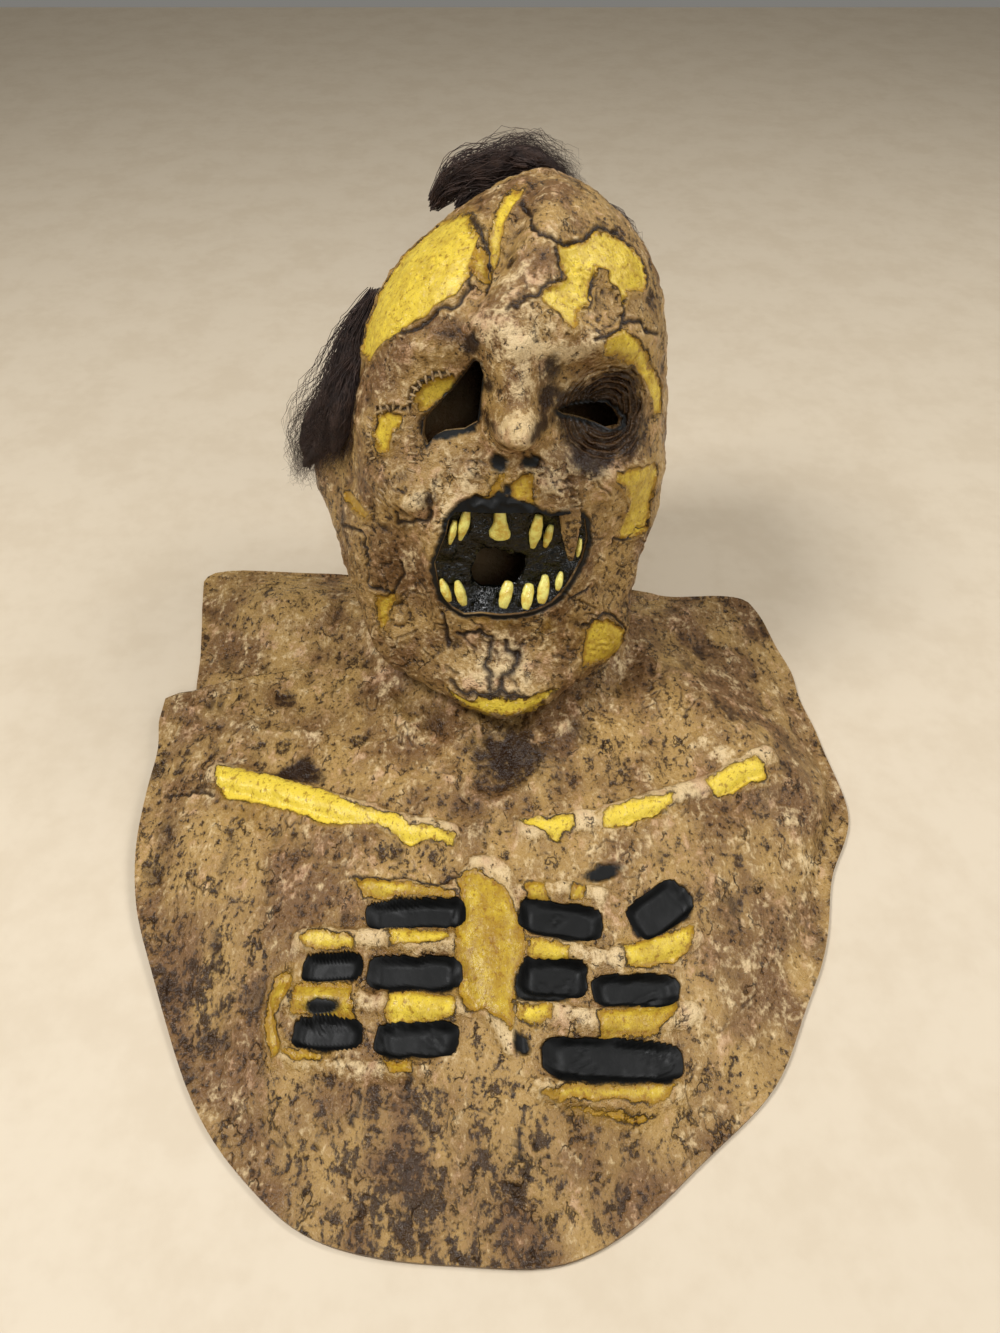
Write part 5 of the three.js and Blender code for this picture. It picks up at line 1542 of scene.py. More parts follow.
@dataclass
class SkinPiece:
    """One closed stretch of the latex skin, with its outer and inner faces and its rim.

    Bearings are in degrees. Where openings are cut, the inner face is as fine as the outer one,
    and elsewhere it is half as fine.
    """

    name: str
    region: Region
    top: float
    bottom: float
    left: float
    right: float
    rows: int
    columns: int
    openings: tuple[Array, ...] = ()
    seam_fade: float = 0.35
    hem_fade: float = 1.2
    lowest: float = 1.2
    head_gap: float = 0.3
    opening_reach: float = 40.0

    def lay(self, form: MaskForm) -> tuple[Array, Array]:
        """Spaces the rows evenly down the middle of the piece.

        Args:
            form: The mask's surface.

        Returns:
            Places down the rings and bearings in radians, with one more on every side.
        """
        fine = np.linspace(self.top, self.bottom, 500)
        middle = np.radians(np.array([(self.left + self.right) / 2]))
        path = form.grid(fine, middle)[:, 0]
        run = lengths(path)
        v = np.interp(np.linspace(0, run[-1], self.rows), run, fine)
        v = np.concatenate([[2 * v[0] - v[1]], v, [2 * v[-1] - v[-2]]])
        b = np.radians(np.linspace(self.left, self.right, self.columns))
        b = np.concatenate([[2 * b[0] - b[1]], b, [2 * b[-1] - b[-2]]])
        return np.clip(v, 0.02, form.rings - 1), b

    def build(self, form: MaskForm, sculptor: Sculptor, builder: Builder,
              material: bpy.types.Material) -> bpy.types.Object:
        """Builds the piece.

        Args:
            form: The mask's surface.
            sculptor: The marks on it.
            builder: Where the piece goes.
            material: The skin's finish.

        Returns:
            The piece.
        """
        v, b = self.lay(form)
        base, away = form.skin(v, b)
        spots = sculptor.charts[self.region].flat(v, b, base)
        marks = sculptor.marks(self.region, spots, base)
        if self.region is Region.BIB:
            marks.relief *= smooth(np.abs(v - form.sections), 0.0, self.seam_fade)[:, None]
        hem = smooth(form.rings - 1 - v, 0.0, self.hem_fade)[:, None]
        outer = base + away * (marks.relief * hem)[..., None]
        outer[..., 2] = np.maximum(outer[..., 2], self.lowest)
        low = np.minimum(marks.relief, 0) * hem
        for axis in (0, 1, 0, 1):
            low = np.minimum(low, np.minimum(np.roll(low, 1, axis), np.roll(low, -1, axis)))
        inner = base + away * (low - form.bib.wall)[..., None]
        inner[..., 2] = np.maximum(inner[..., 2], 0)
        if self.region is Region.HEAD:
            inner = inner - away * self.head_gap
        normals = self.normals(outer)
        core = (slice(1, -1), slice(1, -1))
        outer, inner, normals, base = outer[core], inner[core], normals[core], base[core]
        values = {name: getattr(marks, name)[core] for name in MARK_NAMES}
        if self.openings:
            points, faces, count = self.pierced(form, outer, inner, base)
            step = 1
        else:
            points, faces, count = self.whole(outer, inner)
            step = 2
        mesh = builder.mesh(self.name, points, faces)
        self.dress(mesh, values, normals, step, count)
        return builder.seat(self.name, mesh, material, (SKIN_NODE,))

    @staticmethod
    def normals(points: Array) -> Array:
        """Directions out of a net of points."""
        return unit(np.cross(np.gradient(points, axis=0), np.gradient(points, axis=1)))

    @staticmethod
    def whole(outer: Array, inner: Array) -> tuple[Array, list[Array], int]:
        """Closes a piece without openings, its inner face half as fine.

        Args:
            outer: The outer net.
            inner: The inner net, as fine as the outer one.

        Returns:
            Points, faces with the rim's last, and the number of faces before the rim.
        """
        rows, columns = outer.shape[:2]
        coarse = inner[::2, ::2]
        number = np.arange(rows * columns).reshape(rows, columns)
        under = rows * columns + np.arange(coarse.shape[0] * coarse.shape[1]).reshape(coarse.shape[:2])
        faces = [net_faces(rows, columns), net_faces(*coarse.shape[:2], rows * columns)[:, ::-1]]
        edge, hidden = edge_loop(number), edge_loop(under)
        a, m, c = edge[::2], edge[1::2], np.roll(edge[::2], -1)
        near, far = hidden, np.roll(hidden, -1)
        rim = np.concatenate([np.stack(t, -1) for t in ((m, a, near), (c, m, far), (m, near, far))])
        points = np.concatenate([outer.reshape(-1, 3), coarse.reshape(-1, 3)])
        return points, [*faces, rim], sum(len(f) for f in faces)

    def pierced(self, form: MaskForm, outer: Array, inner: Array,
                base: Array) -> tuple[Array, list[Array], int]:
        """Closes a piece with openings, whose edges follow their outlines.

        Args:
            form: The mask's surface.
            outer: The outer net.
            inner: The inner net.
            base: The smooth net.

        Returns:
            Points, faces with the rim's last, and the number of faces before the rim.
        """
        d = base - form.chin
        plane = np.stack([d @ form.X, d @ form.up], -1)
        far = self.opening_reach
        hole = np.full(plane.shape[:2], -far)
        front = d @ form.ahead > 0
        for corners in self.openings:
            hole = np.maximum(hole, np.where(front, outline_distance(plane, corners, far), -far))
        down, along = np.gradient(hole)
        slope = down ** 2 + along ** 2 + 1e-9
        shift_down, shift_along = -hole * down / slope, -hole * along / slope
        snap = (np.abs(shift_down) < 0.5) & (np.abs(shift_along) < 0.5)
        for net in (outer, inner):
            move = np.gradient(net, axis=0) * shift_down[..., None]
            move += np.gradient(net, axis=1) * shift_along[..., None]
            net += np.where(snap[..., None], move, 0)
        hole[snap] = 0
        quads = net_faces(*outer.shape[:2])
        value = hole.reshape(-1)[quads]
        other = (value[:, 0] > 0) | (value[:, 2] > 0)
        first = np.where(other[:, None], quads[:, [0, 1, 3]], quads[:, [0, 1, 2]])
        second = np.where(other[:, None], quads[:, [1, 2, 3]], quads[:, [0, 2, 3]])
        faces = np.concatenate([first, second])
        faces = faces[np.all(hole.reshape(-1)[faces] <= 0, axis=1)]
        middle = plane.reshape(-1, 2)[faces].mean(1)
        clear = np.all([outline_distance(middle, corners, far) < 0 for corners in self.openings], axis=0)
        faces = faces[~np.all(snap.reshape(-1)[faces], axis=1) | clear]
        edges = np.concatenate([faces[:, [0, 1]], faces[:, [1, 2]], faces[:, [2, 0]]])
        total = outer.shape[0] * outer.shape[1]
        forward, backward = edges[:, 0] * total + edges[:, 1], edges[:, 1] * total + edges[:, 0]
        border = edges[~np.isin(forward, backward)]
        rim = np.stack([border[:, 1], border[:, 0], border[:, 0] + total, border[:, 1] + total], -1)
        points = np.concatenate([outer.reshape(-1, 3), inner.reshape(-1, 3)])
        used = np.zeros(2 * total, bool)
        every = [faces, faces[:, ::-1] + total, rim]
        for face in every:
            used[face.reshape(-1)] = True
        renumber = np.cumsum(used) - 1
        self.kept = used
        return points[used], [renumber[f] for f in every], 2 * len(faces)

    def dress(self, mesh: bpy.types.Mesh, values: dict[str, Array], normals: Array, step: int,
              count: int) -> None:
        """Gives the mesh its surface values and its outward directions.

        Args:
            mesh: The piece's mesh.
            values: Surface values of the outer net.
            normals: Directions out of the outer net.
            step: How coarse the inner face is.
            count: How many faces come before the rim.
        """
        outer = normals.shape[0] * normals.shape[1]
        inner = normals[::step, ::step].reshape(-1, 3)
        kept = self.kept if step == 1 else slice(None)
        for name, value in values.items():
            lining = np.full(len(inner), {"bone": -FAR, "ink_and_shade": -FAR, "crack": FAR}.get(name, 0.0))
            both = np.concatenate([value.reshape(-1), lining])[kept]
            mesh.attributes.new(name, "FLOAT", "POINT").data.foreach_set("value", both.astype(np.float32))
        inside = np.concatenate([np.zeros(outer), np.ones(len(inner))])[kept]
        mesh.attributes.new("inside", "FLOAT", "POINT").data.foreach_set("value", inside.astype(np.float32))
        away = np.concatenate([normals.reshape(-1, 3), -inner])[kept]
        corner = np.zeros(len(mesh.loops), np.int32)
        mesh.loops.foreach_get("vertex_index", corner)
        starts = np.zeros(len(mesh.polygons), np.int32)
        mesh.polygons.foreach_get("loop_start", starts)
        turned = away[corner]
        flat = np.zeros(len(mesh.polygons) * 3)
        mesh.polygons.foreach_get("normal", flat)
        sizes = np.diff(np.append(starts, len(corner)))
        rim = starts[count] if count < len(starts) else len(corner)
        turned[rim:] = np.repeat(flat.reshape(-1, 3), sizes, axis=0)[rim:]
        mesh.normals_split_custom_set(turned.tolist())


@dataclass
class Mouth:
    """The glossy black gum, the hanging tongue of lip and the teeth."""

    form: MaskForm
    size: MouthSize
    corners: int = 132
    rows: int = 18

    def place(self, across: Array, up: Array) -> tuple[Array, Array]:
        """Millimetres across and up the head, from shares of the mouth.

        Args:
            across: Shares of the mouth's width.
            up: Shares of its height.

        Returns:
            Millimetres across and up.
        """
        head = self.form.head
        return (self.size.across * head.width + across * self.size.width,
                self.size.up * head.height + up * self.size.height)

    def outline(self, count: int) -> Array:
        """The mouth's torn edge as evenly spaced shares.

        Args:
            count: Number of corners.

        Returns:
            Corners across and up.
        """
        closed = np.concatenate([MOUTH_EDGE, MOUTH_EDGE[:1]])
        run = lengths(closed)
        at = np.linspace(0, run[-1], count, endpoint=False)
        return np.stack([np.interp(at, run, closed[:, k]) for k in (0, 1)], -1)

    def sunk(self, across: float, up: float) -> float:
        """How deep the gum lies at one place.

        Args:
            across: Share of the mouth's width.
            up: Share of its height.

        Returns:
            Depth in millimetres.
        """
        length = np.hypot(*MOUTH_EDGE.T)
        facing = (MOUTH_EDGE @ np.array([across, up])) / length
        ring = math.hypot(across, up) / length[np.argmax(facing)]
        return float(np.interp(-ring, -GUM_PROFILE[:, 0], GUM_PROFILE[:, 1])) * self.size.gum_depth

    def gum(self, builder: Builder) -> bpy.types.Object:
        """Builds the gum, a wrinkled funnel from the lips to the throat hole.

        Args:
            builder: Where the piece goes.

        Returns:
            The gum.
        """
        corners, rows = self.corners, self.rows
        edge = self.outline(corners)
        share = np.linspace(0, 1, rows)
        profile = np.stack([np.interp(share * 3, range(4), GUM_PROFILE[:, k]) for k in range(4)], -1)
        rings = []
        for ring, sunk, aside, drop in profile:
            across, up = self.place(edge[:, 0] * ring + aside, edge[:, 1] * ring - drop)
            rings.append(self.form.on_face(across, up) - sunk * self.size.gum_depth * self.form.ahead)
        net = np.array(rings)
        inward = smooth(share, 0.12, 0.4)[:, None]
        folds = 1.6 * lattice_noise(net * np.array([1, 1, 0.8]), 6.5, 41) + 0.8 * lattice_noise(net, 3.0, 42)
        front = net + self.form.ahead * (folds * inward)[..., None]
        back = net - self.form.ahead * self.form.bib.wall
        total = rows * corners
        number = np.arange(total).reshape(rows, corners)
        number = np.concatenate([number, number[:, :1]], 1)
        quads = self.band(number)
        lip = self.band(np.stack([number[0] + total, number[0]]))
        hole = self.band(np.stack([number[-1], number[-1] + total]))
        points = np.concatenate([front.reshape(-1, 3), back.reshape(-1, 3)])
        mesh = builder.mesh("gum", points, [quads, quads[:, ::-1] + total, lip, hole], len(quads))
        return builder.seat("gum", mesh, GUM_LATEX.make(), (SKIN_NODE,))

    @staticmethod
    def band(number: Array) -> Array:
        """Quads between rows of point numbers that run counter-clockwise seen from the front."""
        corners = [number[:-1, :-1], number[:-1, 1:], number[1:, 1:], number[1:, :-1]]
        return np.stack(corners, -1).reshape(-1, 4)

    def strip(self, middles: Array, halves: Array, thicks: Array, around: int,
              rough: float, seed: int, power: float = 2.0) -> tuple[Array, list[Array]]:
        """A closed strip through stations on the face.

        Args:
            middles: Middles of the stations.
            halves: Half widths.
            thicks: Half thicknesses.
            around: Points around each station.
            rough: Height of the lumps in millimetres.
            seed: Which lumps.
            power: How boxy the section is.

        Returns:
            Points and faces.
        """
        along = unit(np.gradient(middles, axis=0))
        side = unit(np.cross(along, self.form.ahead))
        out = unit(np.cross(side, along))
        angle = np.linspace(0, 2 * math.pi, around, endpoint=False)
        c, s = rounded(np.cos(angle), power), rounded(np.sin(angle), power)
        ring = c[None, :, None] * side[:, None] * halves[:, None, None]
        ring = ring + s[None, :, None] * out[:, None] * thicks[:, None, None]
        noise = lattice_noise(middles[:, None] + ring, 2.2, seed)
        net = middles[:, None] + ring * (1 + rough * noise[..., None])
        rows = len(middles)
        number = np.arange(rows * around).reshape(rows, around)
        quads = self.band(np.concatenate([number, number[:, :1]], 1))[:, ::-1]
        ends = np.array([rows * around, rows * around + 1])
        first = np.stack([np.roll(number[0], -1), number[0], np.full(around, ends[0])], -1)[:, ::-1]
        last = np.stack([number[-1], np.roll(number[-1], -1), np.full(around, ends[1])], -1)[:, ::-1]
        points = np.concatenate([net.reshape(-1, 3), middles[:1], middles[-1:]])
        return points, [quads, first, last]

    def lip_flap(self, builder: Builder, material: bpy.types.Material) -> bpy.types.Object:
        """Builds the tongue of lip that hangs over the mouth's edge.

        Args:
            builder: Where the piece goes.
            material: The skin's finish.

        Returns:
            The tongue of lip.
        """
        share, at = np.linspace(0, 1, 22), np.linspace(0, 1, len(LIP_FLAP))
        across, up, half = (np.interp(share, at, LIP_FLAP[:, k]) for k in range(3))
        middles = self.form.on_face(*self.place(across, up)) - self.form.ahead * self.form.bib.wall / 3
        thick = np.full(len(share), self.form.bib.wall * 0.8)
        points, faces = self.strip(middles, half * self.size.width, thick, 24, 0.12, 51)
        mesh = builder.mesh("lip_flap", points, faces)
        for name, value in (("bone", -FAR), ("ink_and_shade", -FAR), ("crack", FAR), ("tone", -0.1)):
            level = np.full(len(mesh.vertices), value, np.float32)
            mesh.attributes.new(name, "FLOAT", "POINT").data.foreach_set("value", level)
        return builder.seat("lip_flap", mesh, material, (SKIN_NODE,))

    def tooth(self, builder: Builder, row: tuple, seed: int,
              material: bpy.types.Material) -> bpy.types.Object:
        """Builds one tooth from its root to its worn tip.

        Args:
            builder: Where the piece goes.
            row: The tooth's row of the table.
            seed: Which lumps it has.
            material: The enamel.

        Returns:
            The tooth.
        """
        name, root, tip, width, flare = row
        ends = []
        for across, up in (root, tip):
            point = self.form.on_face(*(np.array([t]) for t in self.place(across, up)))[0]
            ends.append(point - self.form.ahead * (self.sunk(across, up) - self.size.tooth_thickness / 4))
        share = 1 - (1 - np.linspace(0, 1, 26)) ** 1.4
        sizes = np.interp(share, (0, 0.15, 0.55, 0.9, 1), (0.5, 0.85, 1, flare, 0.7 * flare))
        sizes = np.convolve(np.pad(sizes, 2, "edge"), np.ones(5) / 5, "valid")
        sizes = sizes * np.sqrt(np.clip(1 - ((share - 0.94) / 0.062).clip(0, 1) ** 2, 0.04, 1))
        middles = ends[0] + (ends[1] - ends[0]) * share[:, None]
        bow = np.sin(math.pi * share)[:, None] * self.form.ahead * 0.6
        points, faces = self.strip(middles + bow, sizes * width * self.size.width / 2,
                                   np.minimum(sizes, 1) * self.size.tooth_thickness / 2, 28, 0.1, seed, 2.4)
        mesh = builder.mesh(name, points, faces)
        return builder.seat(name.replace("tooth", "enamel"), mesh, material, (name,))

    def build(self, builder: Builder, latex: bpy.types.Material) -> None:
        """Builds the whole mouth.

        Args:
            builder: Where the pieces go.
            latex: The skin's finish.
        """
        self.gum(builder)
        self.lip_flap(builder, latex)
        enamel = TOOTH_ENAMEL.make()
        for number, row in enumerate(TEETH):
            self.tooth(builder, row, 60 + number, enamel)


@dataclass
class Paths:
    """Lines over the surface: points along each in the mask's millimetres, and directions out there."""

    lines: list[Array]
    outs: list[Array]


class PathBook(Book):
    """Geometry nodes that start from paths and end in one finished mesh."""

    def __init__(self, name: str, inputs: dict[str, str]) -> None:
        """Starts the tree with its named inputs.

        Args:
            name: The tree's name.
            inputs: What each input holds, by name.
        """
        super().__init__(bpy.data.node_groups.new(name, "GeometryNodeTree"))
        for label, kind in {"Paths": "Geometry", **inputs, "Material": "Material"}.items():
            self.tree.interface.new_socket(label, in_out="INPUT", socket_type="NodeSocket" + kind)
        self.tree.interface.new_socket("Mesh", in_out="OUTPUT", socket_type="NodeSocketGeometry")
        self.given = self.add("NodeGroupInput").node.outputs
        self.curve = self.add("GeometryNodeMeshToCurve", {"Mesh": self.given["Paths"]})

    def moved(self, start: object, way: Socket, far: object) -> Socket:
        """Adds a vector, scaled by a length, to another."""
        scaled = self.add("ShaderNodeVectorMath", {0: way, 3: far}, operation="SCALE")
        return self.add("ShaderNodeVectorMath", {0: start, 1: scaled}, operation="ADD")

    def tube(self, curve: Socket, corners: int, radius: Socket) -> Socket:
        """Sweeps a round profile along curves.

        Args:
            curve: The curves.
            corners: Corners of the profile.
            radius: The tube's radius at each place.

        Returns:
            The tubes' socket.
        """
        profile = self.add("GeometryNodeCurvePrimitiveCircle", {"Resolution": corners, "Radius": 1.0})
        return self.add("GeometryNodeCurveToMesh", {"Curve": curve, "Profile Curve": profile, "Scale": radius,
                                                    "Fill Caps": True})

    def end(self, mesh: Socket) -> None:
        """Realises the instances, shades them smooth, sets the material and closes the tree."""
        real = self.add("GeometryNodeRealizeInstances", {"Geometry": mesh})
        shaded = self.add("GeometryNodeSetShadeSmooth", {"Geometry": real})
        dressed = self.add("GeometryNodeSetMaterial",
                           {"Geometry": shaded, "Material": self.given["Material"]})
        self.add("NodeGroupOutput", {"Mesh": dressed})

    def grow(self, name: str, paths: Paths, builder: Builder, values: dict[str, object]) -> bpy.types.Mesh:
        """Runs the tree over some paths and keeps the mesh it makes.

        Args:
            name: The mesh's name.
            paths: The paths.
            builder: Knows where the mask stands.
            values: The tree's inputs by name.

        Returns:
            The baked mesh.
        """
        ends = np.cumsum([len(line) for line in paths.lines])
        number = np.arange(ends[-1] - 1)
        number = number[~np.isin(number, ends - 1)]
        points = (np.concatenate(paths.lines) + builder.origin) * METRES
        mesh = bpy.data.meshes.new(name + "_paths")
        mesh.from_pydata(points.tolist(), np.stack([number, number + 1], -1).tolist(), [])
        out = np.concatenate(paths.outs).astype(np.float32)
        mesh.attributes.new("out", "FLOAT_VECTOR", "POINT").data.foreach_set("vector", out.ravel())
        holder = bpy.data.objects.new(name + "_paths", mesh)
        bpy.context.scene.collection.objects.link(holder)
        growth = holder.modifiers.new("growth", "NODES")
        growth.node_group = self.tree
        for item in self.tree.interface.items_tree:
            if item.name in values:
                growth[item.identifier] = values[item.name]
        grown = bpy.data.meshes.new_from_object(holder.evaluated_get(bpy.context.evaluated_depsgraph_get()))
        grown.name = name
        holder.modifiers.clear()
        bpy.data.objects.remove(holder)
        bpy.data.meshes.remove(mesh)
        return grown


# Sizes in metres of the curls of the hair, and of the lumps of cracks and locks.
CURL_SIZE = 0.011
LUMP_SIZE = 0.006


def tube_tree() -> PathBook:
    """Nodes that lay a thin uneven tube along each path.

    Returns:
        The tree.
    """
    book = PathBook("uneven_tube", {"Radius": "Float", "Spacing": "Float"})
    curve = book.add("GeometryNodeResampleCurve", {"Curve": book.curve, "Length": book.given["Spacing"]},
                     mode="LENGTH")
    swell = book.add("ShaderNodeTexNoise", {"Scale": 1 / LUMP_SIZE, "Detail": 2.0})
    run = book.add("GeometryNodeSplineParameter")
    taper = book.add("ShaderNodeMath", {0: book.total(0, (run, math.pi))}, operation="SINE")
    taper = book.total(0, (book.total(0.2, (taper, 0.8)), book.given["Radius"]))
    book.end(book.tube(curve, 6, book.total(0, (taper, book.total(0, (swell, 2.0))))))
    return book


def stitch_tree() -> PathBook:
    """Nodes that set short rounded stitches across each path.

    Returns:
        The tree.
    """
    book = PathBook("cast_stitches",
                    {"Pitch": "Float", "Length": "Float", "Thickness": "Float", "Seed": "Int"})
    given = book.given
    curve = book.add("GeometryNodeResampleCurve", {"Curve": book.curve, "Length": given["Pitch"]},
                     mode="LENGTH")
    tangent = book.add("GeometryNodeInputTangent")
    out = book.add("GeometryNodeInputNamedAttribute", {"Name": "out"}, data_type="FLOAT_VECTOR")
    turn = book.add("FunctionNodeAxesToRotation", {"Primary Axis": out, "Secondary Axis": tangent},
                    primary_axis="Z", secondary_axis="X")
    lean = book.add("FunctionNodeRandomValue",
                    {"Min": (0, 0, -0.35), "Max": (0, 0, 0.35), "Seed": given["Seed"]},
                    data_type="FLOAT_VECTOR")
    turn = book.add("FunctionNodeRotateRotation", {0: turn, 1: lean}, rotation_space="LOCAL")
    ball = book.add("GeometryNodeMeshUVSphere", {"Segments": 12, "Rings": 8, "Radius": 0.5})
    size = book.add("ShaderNodeCombineXYZ",
                    {0: given["Thickness"], 1: given["Length"], 2: given["Thickness"]})
    ball = book.add("GeometryNodeTransform", {"Geometry": ball, "Scale": size})
    book.end(book.add("GeometryNodeInstanceOnPoints", {"Points": curve, "Instance": ball, "Rotation": turn}))
    return book


def hair_tree() -> PathBook:
    """Nodes that spread many frizzy strands round each lock.

    Returns:
        The tree.
    """
    book = PathBook("crepe_hair", {"Strands": "Int", "Spread": "Float", "Frizz": "Float", "Radius": "Float",
                                   "Seed": "Int"})
    given = book.given
    lock = book.add("GeometryNodeCurveSplineType", {"Curve": book.curve}, spline_type="CATMULL_ROM")
    lock = book.add("GeometryNodeResampleCurve", {"Curve": lock, "Count": 25})
    many = book.add("GeometryNodeDuplicateElements", {"Geometry": lock, "Amount": given["Strands"]},
                    domain="SPLINE")
    number = book.add("GeometryNodeInputIndex")
    dealt = book.add("FunctionNodeRandomValue", {"Min": (-1, -1, -1), "Max": (1, 1, 1), "ID": number,
                                                 "Seed": given["Seed"]}, data_type="FLOAT_VECTOR")
    kept = book.add("GeometryNodeCaptureAttribute", {"Geometry": many}, domain="CURVE").node
    kept.capture_items.new("VECTOR", "away")
    book.tree.links.new(dealt, kept.inputs["away"])
    away = kept.outputs["away"]
    run = book.add("GeometryNodeSplineParameter")
    bend = book.add("ShaderNodeMath", {0: book.total(0, (run, 2.6))}, operation="SINE")
    spread = book.total(0, (book.total(0.35, (bend, 0.8)), given["Spread"]))
    place = book.moved(book.add("GeometryNodeInputPosition"), away, 0.09)
    curl = book.add("ShaderNodeTexNoise",
                    {"Vector": place, "Scale": 1 / CURL_SIZE, "Detail": 3.0, "Roughness": 0.6},
                    "Color")
    fray = book.total(0, (book.total(0.15, (run, 1.0)), given["Frizz"]))
    move = book.moved(book.moved((0, 0, 0), away, spread), book.moved((-0.5, -0.5, -0.5), curl, 1.0), fray)
    curve = book.add("GeometryNodeSetPosition", {"Geometry": kept.outputs[0], "Offset": move})
    strands = book.tube(curve, 3, book.total(0, (book.total(1.15, (run, -1.0)), given["Radius"])))
    ends = book.add("ShaderNodeMath", {0: book.total(0, (run, math.pi))}, operation="SINE")
    ends = book.add("ShaderNodeMath", {0: ends, 1: 0.4}, operation="POWER")
    core = book.tube(lock, 14, book.total(0, (book.total(0, (ends, spread)), 0.5)))
    lumps = book.add("ShaderNodeTexNoise", {"Scale": 1 / LUMP_SIZE, "Detail": 3.0}, "Color")
    lumps = book.moved((0, 0, 0), book.moved((-0.5, -0.5, -0.5), lumps, 1.0), 0.008)
    core = book.add("GeometryNodeSetPosition", {"Geometry": core, "Offset": lumps})
    joined = book.add("GeometryNodeJoinGeometry")
    for part in (strands, core):
        book.tree.links.new(part, joined.node.inputs[0])
    book.end(joined)
    return book


@dataclass
class SurfaceLines:
    """What is laid along lines of the surface: the painted cracks and the cast stitches."""

    form: MaskForm
    sculptor: Sculptor
    crack_radius: float = 0.32
    stitch_pitch: float = 4.2
    stitch_length: float = 6.0
    stitch_thickness: float = 1.6
    crack_lift: float = 0.1
    stitch_lift: float = 0.4
    pace: float = 1.2

    def trace(self, region: Region, pixels: tuple, lift: float) -> tuple[Array, Array]:
        """Follows a line of the photograph over the sculpted surface.

        Args:
            region: The chart the line is on.
            pixels: The line's corners.
            lift: Height above the surface, in millimetres.

        Returns:
            Points about a millimetre apart, and directions out of the surface.
        """
        chart = self.sculptor.charts[region]
        spots, places = chart.pick(list(pixels))
        run = lengths(spots)
        at = np.linspace(0, run[-1], max(int(run[-1] / self.pace), 4))
        v, b = (np.interp(at, run, places[:, k]) for k in (0, 1))
        found = [self.form.skin(v[k:k + 1], b[k:k + 1]) for k in range(len(at))]
        points, out = (np.array([pair[k][0, 0] for pair in found]) for k in (0, 1))
        flat = np.array([chart.flat(v[k:k + 1], b[k:k + 1], points[None, k:k + 1])[0, 0]
                         for k in range(len(at))])
        relief = self.sculptor.marks(region, flat, points).relief
        return points + out * (relief + lift)[:, None], out

    def lay(self, rows: list | tuple, lift: float) -> Paths:
        """Follows every line of a table."""
        traced = [self.trace(region, pixels, lift) for region, pixels in rows]
        return Paths([points for points, _ in traced], [out for _, out in traced])

    def build(self, builder: Builder) -> None:
        """Builds the cracks and the stitches."""
        crack_paths = self.lay([(region, ragged(line)) for region, line in CRACKS], self.crack_lift)
        cracks = tube_tree().grow("crack_lines", crack_paths, builder, {
            "Radius": self.crack_radius * METRES, "Spacing": 0.9 * METRES, "Material": CRACK_WASH.make()})
        stitches = stitch_tree().grow("stitches", self.lay(STITCH_SEAMS, self.stitch_lift), builder, {
            "Pitch": self.stitch_pitch * METRES, "Length": self.stitch_length * METRES,
            "Thickness": self.stitch_thickness * METRES, "Seed": 7, "Material": STITCH_LATEX.make()})
        for mesh in (cracks, stitches):
            builder.seat(mesh.name, mesh, None, (SKIN_NODE,))


@dataclass
class Hair:
    """The three tufts of crepe hair."""

    form: MaskForm
    radius: float = 0.22
    frizz: float = 22.0

    def build(self, builder: Builder, share: float) -> None:
        """Builds the tufts.

        Args:
            builder: Where the pieces go.
            share: Share of the strands to make.
        """
        material, tree = CREPE_HAIR.make(), hair_tree()
        for number, tuft in enumerate(TUFTS):
            paths = Paths([], [])
            for lock in tuft.locks:
                found = [(*self.form.skin(self.form.place(np.array([rise])),
                                          np.radians(np.array([bearing]))), off)
                         for bearing, rise, off in lock]
                paths.lines.append(np.array([p[0, 0] + n[0, 0] * off * TUFT_LENGTH for p, n, off in found]))
                paths.outs.append(np.array([n[0, 0] for _, n, _ in found]))
            mesh = tree.grow(tuft.node, paths, builder, {
                "Strands": int(tuft.strands * share),
                "Spread": tuft.spread * METRES,
                "Frizz": self.frizz * METRES,
                "Radius": self.radius * METRES, "Seed": number, "Material": material})
            builder.seat(tuft.node.replace("hair", "crepe"), mesh, None, (tuft.node,))


# Soft lights: name, place in metres, width in metres, power in watts.
LIGHTS = (
    ("key", (-0.75, -0.1, 1.3), 0.45, 16),
    ("fill", (0.95, -0.5, 1.0), 0.8, 4),
    ("side", (1.0, 0.35, 1.3), 0.5, 10),
    ("front", (0.15, -1.1, 1.0), 0.25, 3.5),
)


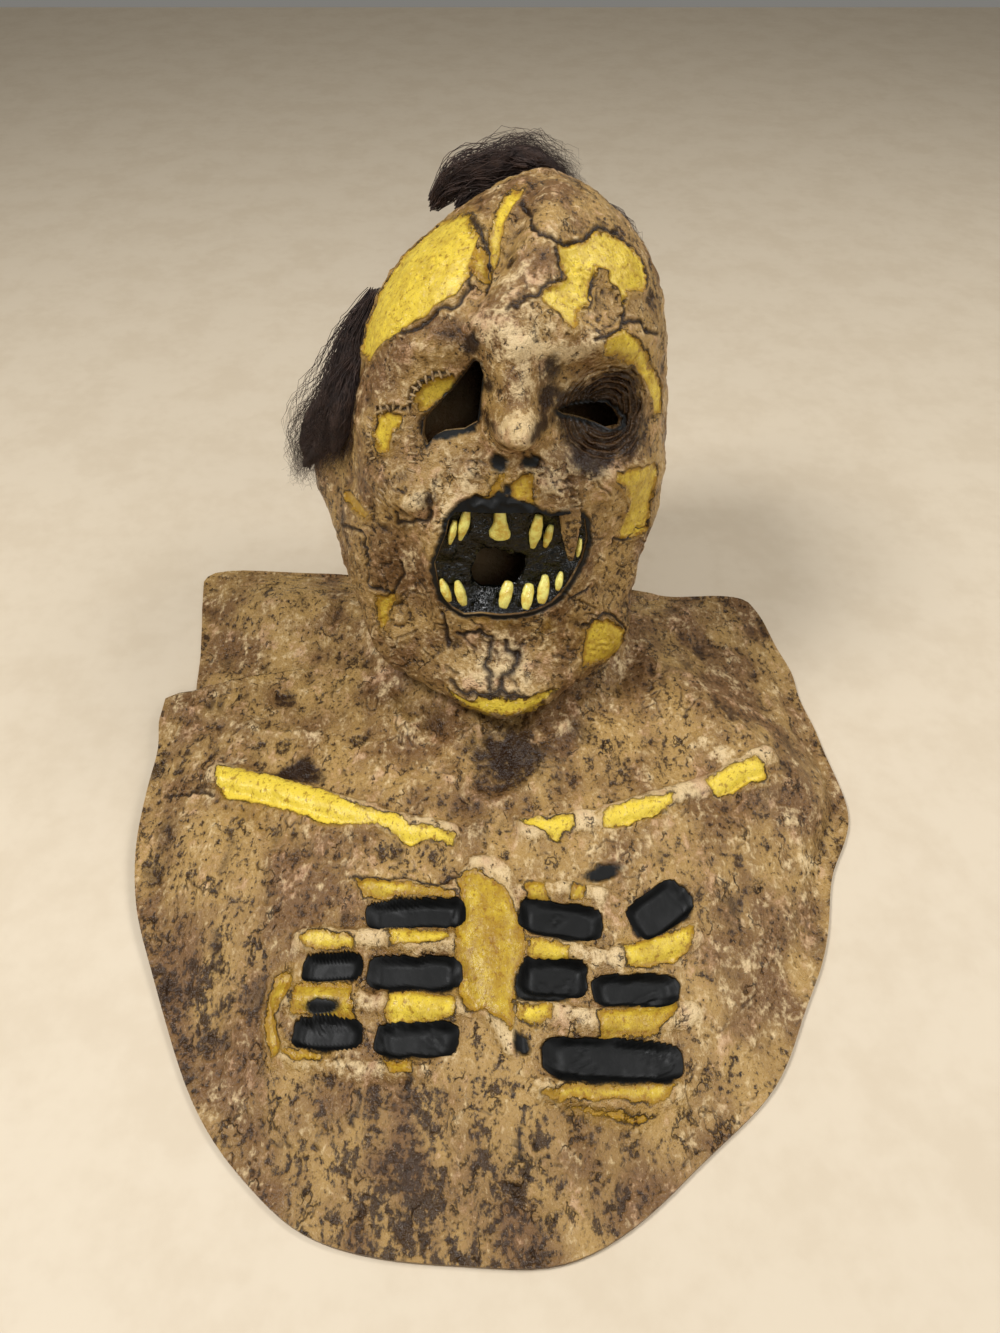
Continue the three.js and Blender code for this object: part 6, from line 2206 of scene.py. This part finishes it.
@dataclass(frozen=True)
class Studio:
    """The table top, the soft lights and the camera."""

    sensor: float = 36.0
    table_size: float = 4.0
    world_colour: str = "#f2eee6"
    world_strength: float = 0.23

    def build(self, camera: PhotoCamera, origin: Array) -> None:
        """Sets the studio up round the mask.

        Args:
            camera: The photograph's camera.
            origin: The neck's middle in the shared frame, in millimetres.
        """
        scene = bpy.context.scene
        half = self.table_size / 2
        mesh = bpy.data.meshes.new("table_top")
        corners = [(-half, -half, 0), (half, -half, 0), (half, half, 0), (-half, half, 0)]
        mesh.from_pydata(corners, [], [(0, 1, 2, 3)])
        mesh.materials.append(TABLE_TOP.make())
        table = bpy.data.objects.new("table_top", mesh)
        scene.collection.objects.link(table)
        for row in LIGHTS:
            self.light(*row)
        world = bpy.data.worlds.new("studio")
        world.use_nodes = True
        glow = world.node_tree.nodes["Background"].inputs
        glow[0].default_value = linear(self.world_colour)
        glow[1].default_value = self.world_strength
        scene.world = world
        scene.view_settings.view_transform = "Standard"
        lens = bpy.data.cameras.new("photo_camera")
        lens.lens = camera.focal / camera.height * self.sensor
        lens.sensor_width = self.sensor
        seen = bpy.data.objects.new("photo_camera", lens)
        seen.location = (np.array(camera.place) + origin) * METRES
        seen.rotation_euler = (math.radians(90 - camera.pitch), 0, 0)
        scene.collection.objects.link(seen)
        scene.camera = seen

    def light(self, name: str, place: tuple[float, float, float], size: float, power: float) -> None:
        """Adds one square soft light that faces the mask.

        Args:
            name: The light's name.
            place: Its place in metres.
            size: Its width in metres.
            power: Its power in watts.
        """
        lamp = bpy.data.lights.new(name, "AREA")
        lamp.energy, lamp.size = power, size
        holder = bpy.data.objects.new(name, lamp)
        holder.location = place
        aim = -np.array(place) + np.array([0, 0, 0.12])
        tilt = math.atan2(math.hypot(aim[0], aim[1]), -aim[2])
        holder.rotation_euler = (tilt, 0, math.atan2(-aim[0], aim[1]))
        bpy.context.scene.collection.objects.link(holder)


def skin_pieces() -> list[SkinPiece]:
    """The stretches of the skin, crown first.

    Returns:
        The pieces.
    """
    eyes = tuple(corners for corners, _ in mouth_and_eyes()[1:])
    opening = mouth_and_eyes()[0][0]
    fine = 1
    side, tuck = 96.0, BIB.tuck_bearing
    crown, hairline, cheeks, neck, hem = 0.06, 3, 8, 13, 21
    return [
        SkinPiece("skin_scalp", Region.HEAD, crown, hairline, -180, 180,
                  60 // fine // 2 * 2 + 1, 240 // fine + 1),
        SkinPiece("skin_brow", Region.HEAD, hairline, cheeks, -side, side,
                  170 // fine, 256 // fine + 1, eyes),
        SkinPiece("skin_jaw", Region.HEAD, cheeks, neck, -side, side,
                  170 // fine, 256 // fine + 1, (opening,)),
        SkinPiece("skin_nape", Region.HEAD, hairline, neck, side, 360 - side,
                  84 * 2 // fine + 1, 112 // fine + 1),
        SkinPiece("skin_chest_left", Region.BIB, neck, hem, tuck + 0.01, 0,
                  240 // fine + 1, 196 // fine + 1),
        SkinPiece("skin_chest_right", Region.BIB, neck, hem, 0, 115,
                  240 // fine + 1, 220 // fine + 1),
        SkinPiece("skin_shoulders", Region.BIB, neck, hem, 115, 360 + tuck + 6, 60 + 1, 120 + 1),
    ]


def skin_origin(form: MaskForm) -> Array:
    """Finds the neck's middle in the shared frame from the CAD skin's box.

    Args:
        form: The mask's surface.

    Returns:
        The neck's middle in millimetres.
    """
    low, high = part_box(SKIN_NODE)
    p, _ = form.skin(np.linspace(0, form.rings - 1, 180), np.radians(np.linspace(-180, 180, 721)))
    p = p.reshape(-1, 3)
    middle = (p.min(0) + p.max(0)) / 2
    origin = (np.array(low) + np.array(high)) / 2 / METRES - middle
    origin[2] = 0
    return origin


def main() -> None:
    """Builds the mask and its studio."""
    logging.basicConfig(level=logging.INFO, format="%(name)s %(message)s")
    form, camera = MaskForm(HEAD, BIB), PhotoCamera()
    builder = Builder(skin_origin(form))
    log.info("neck's middle at %s mm", np.round(builder.origin, 2).tolist())
    sculptor = Sculptor(form, camera)
    latex = PaintedLatex(lid=tuple((sculptor.spot(Region.HEAD, RIGHT_LID) + builder.origin) * METRES)).make()
    mouth = Mouth(form, MOUTH)
    for piece in skin_pieces():
        piece.build(form, sculptor, builder, latex)
    mouth.build(builder, latex)
    SurfaceLines(form, sculptor).build(builder)
    Hair(form).build(builder, 1.0)
    Studio().build(camera, builder.origin)
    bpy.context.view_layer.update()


if __name__ == "__main__":
    main()
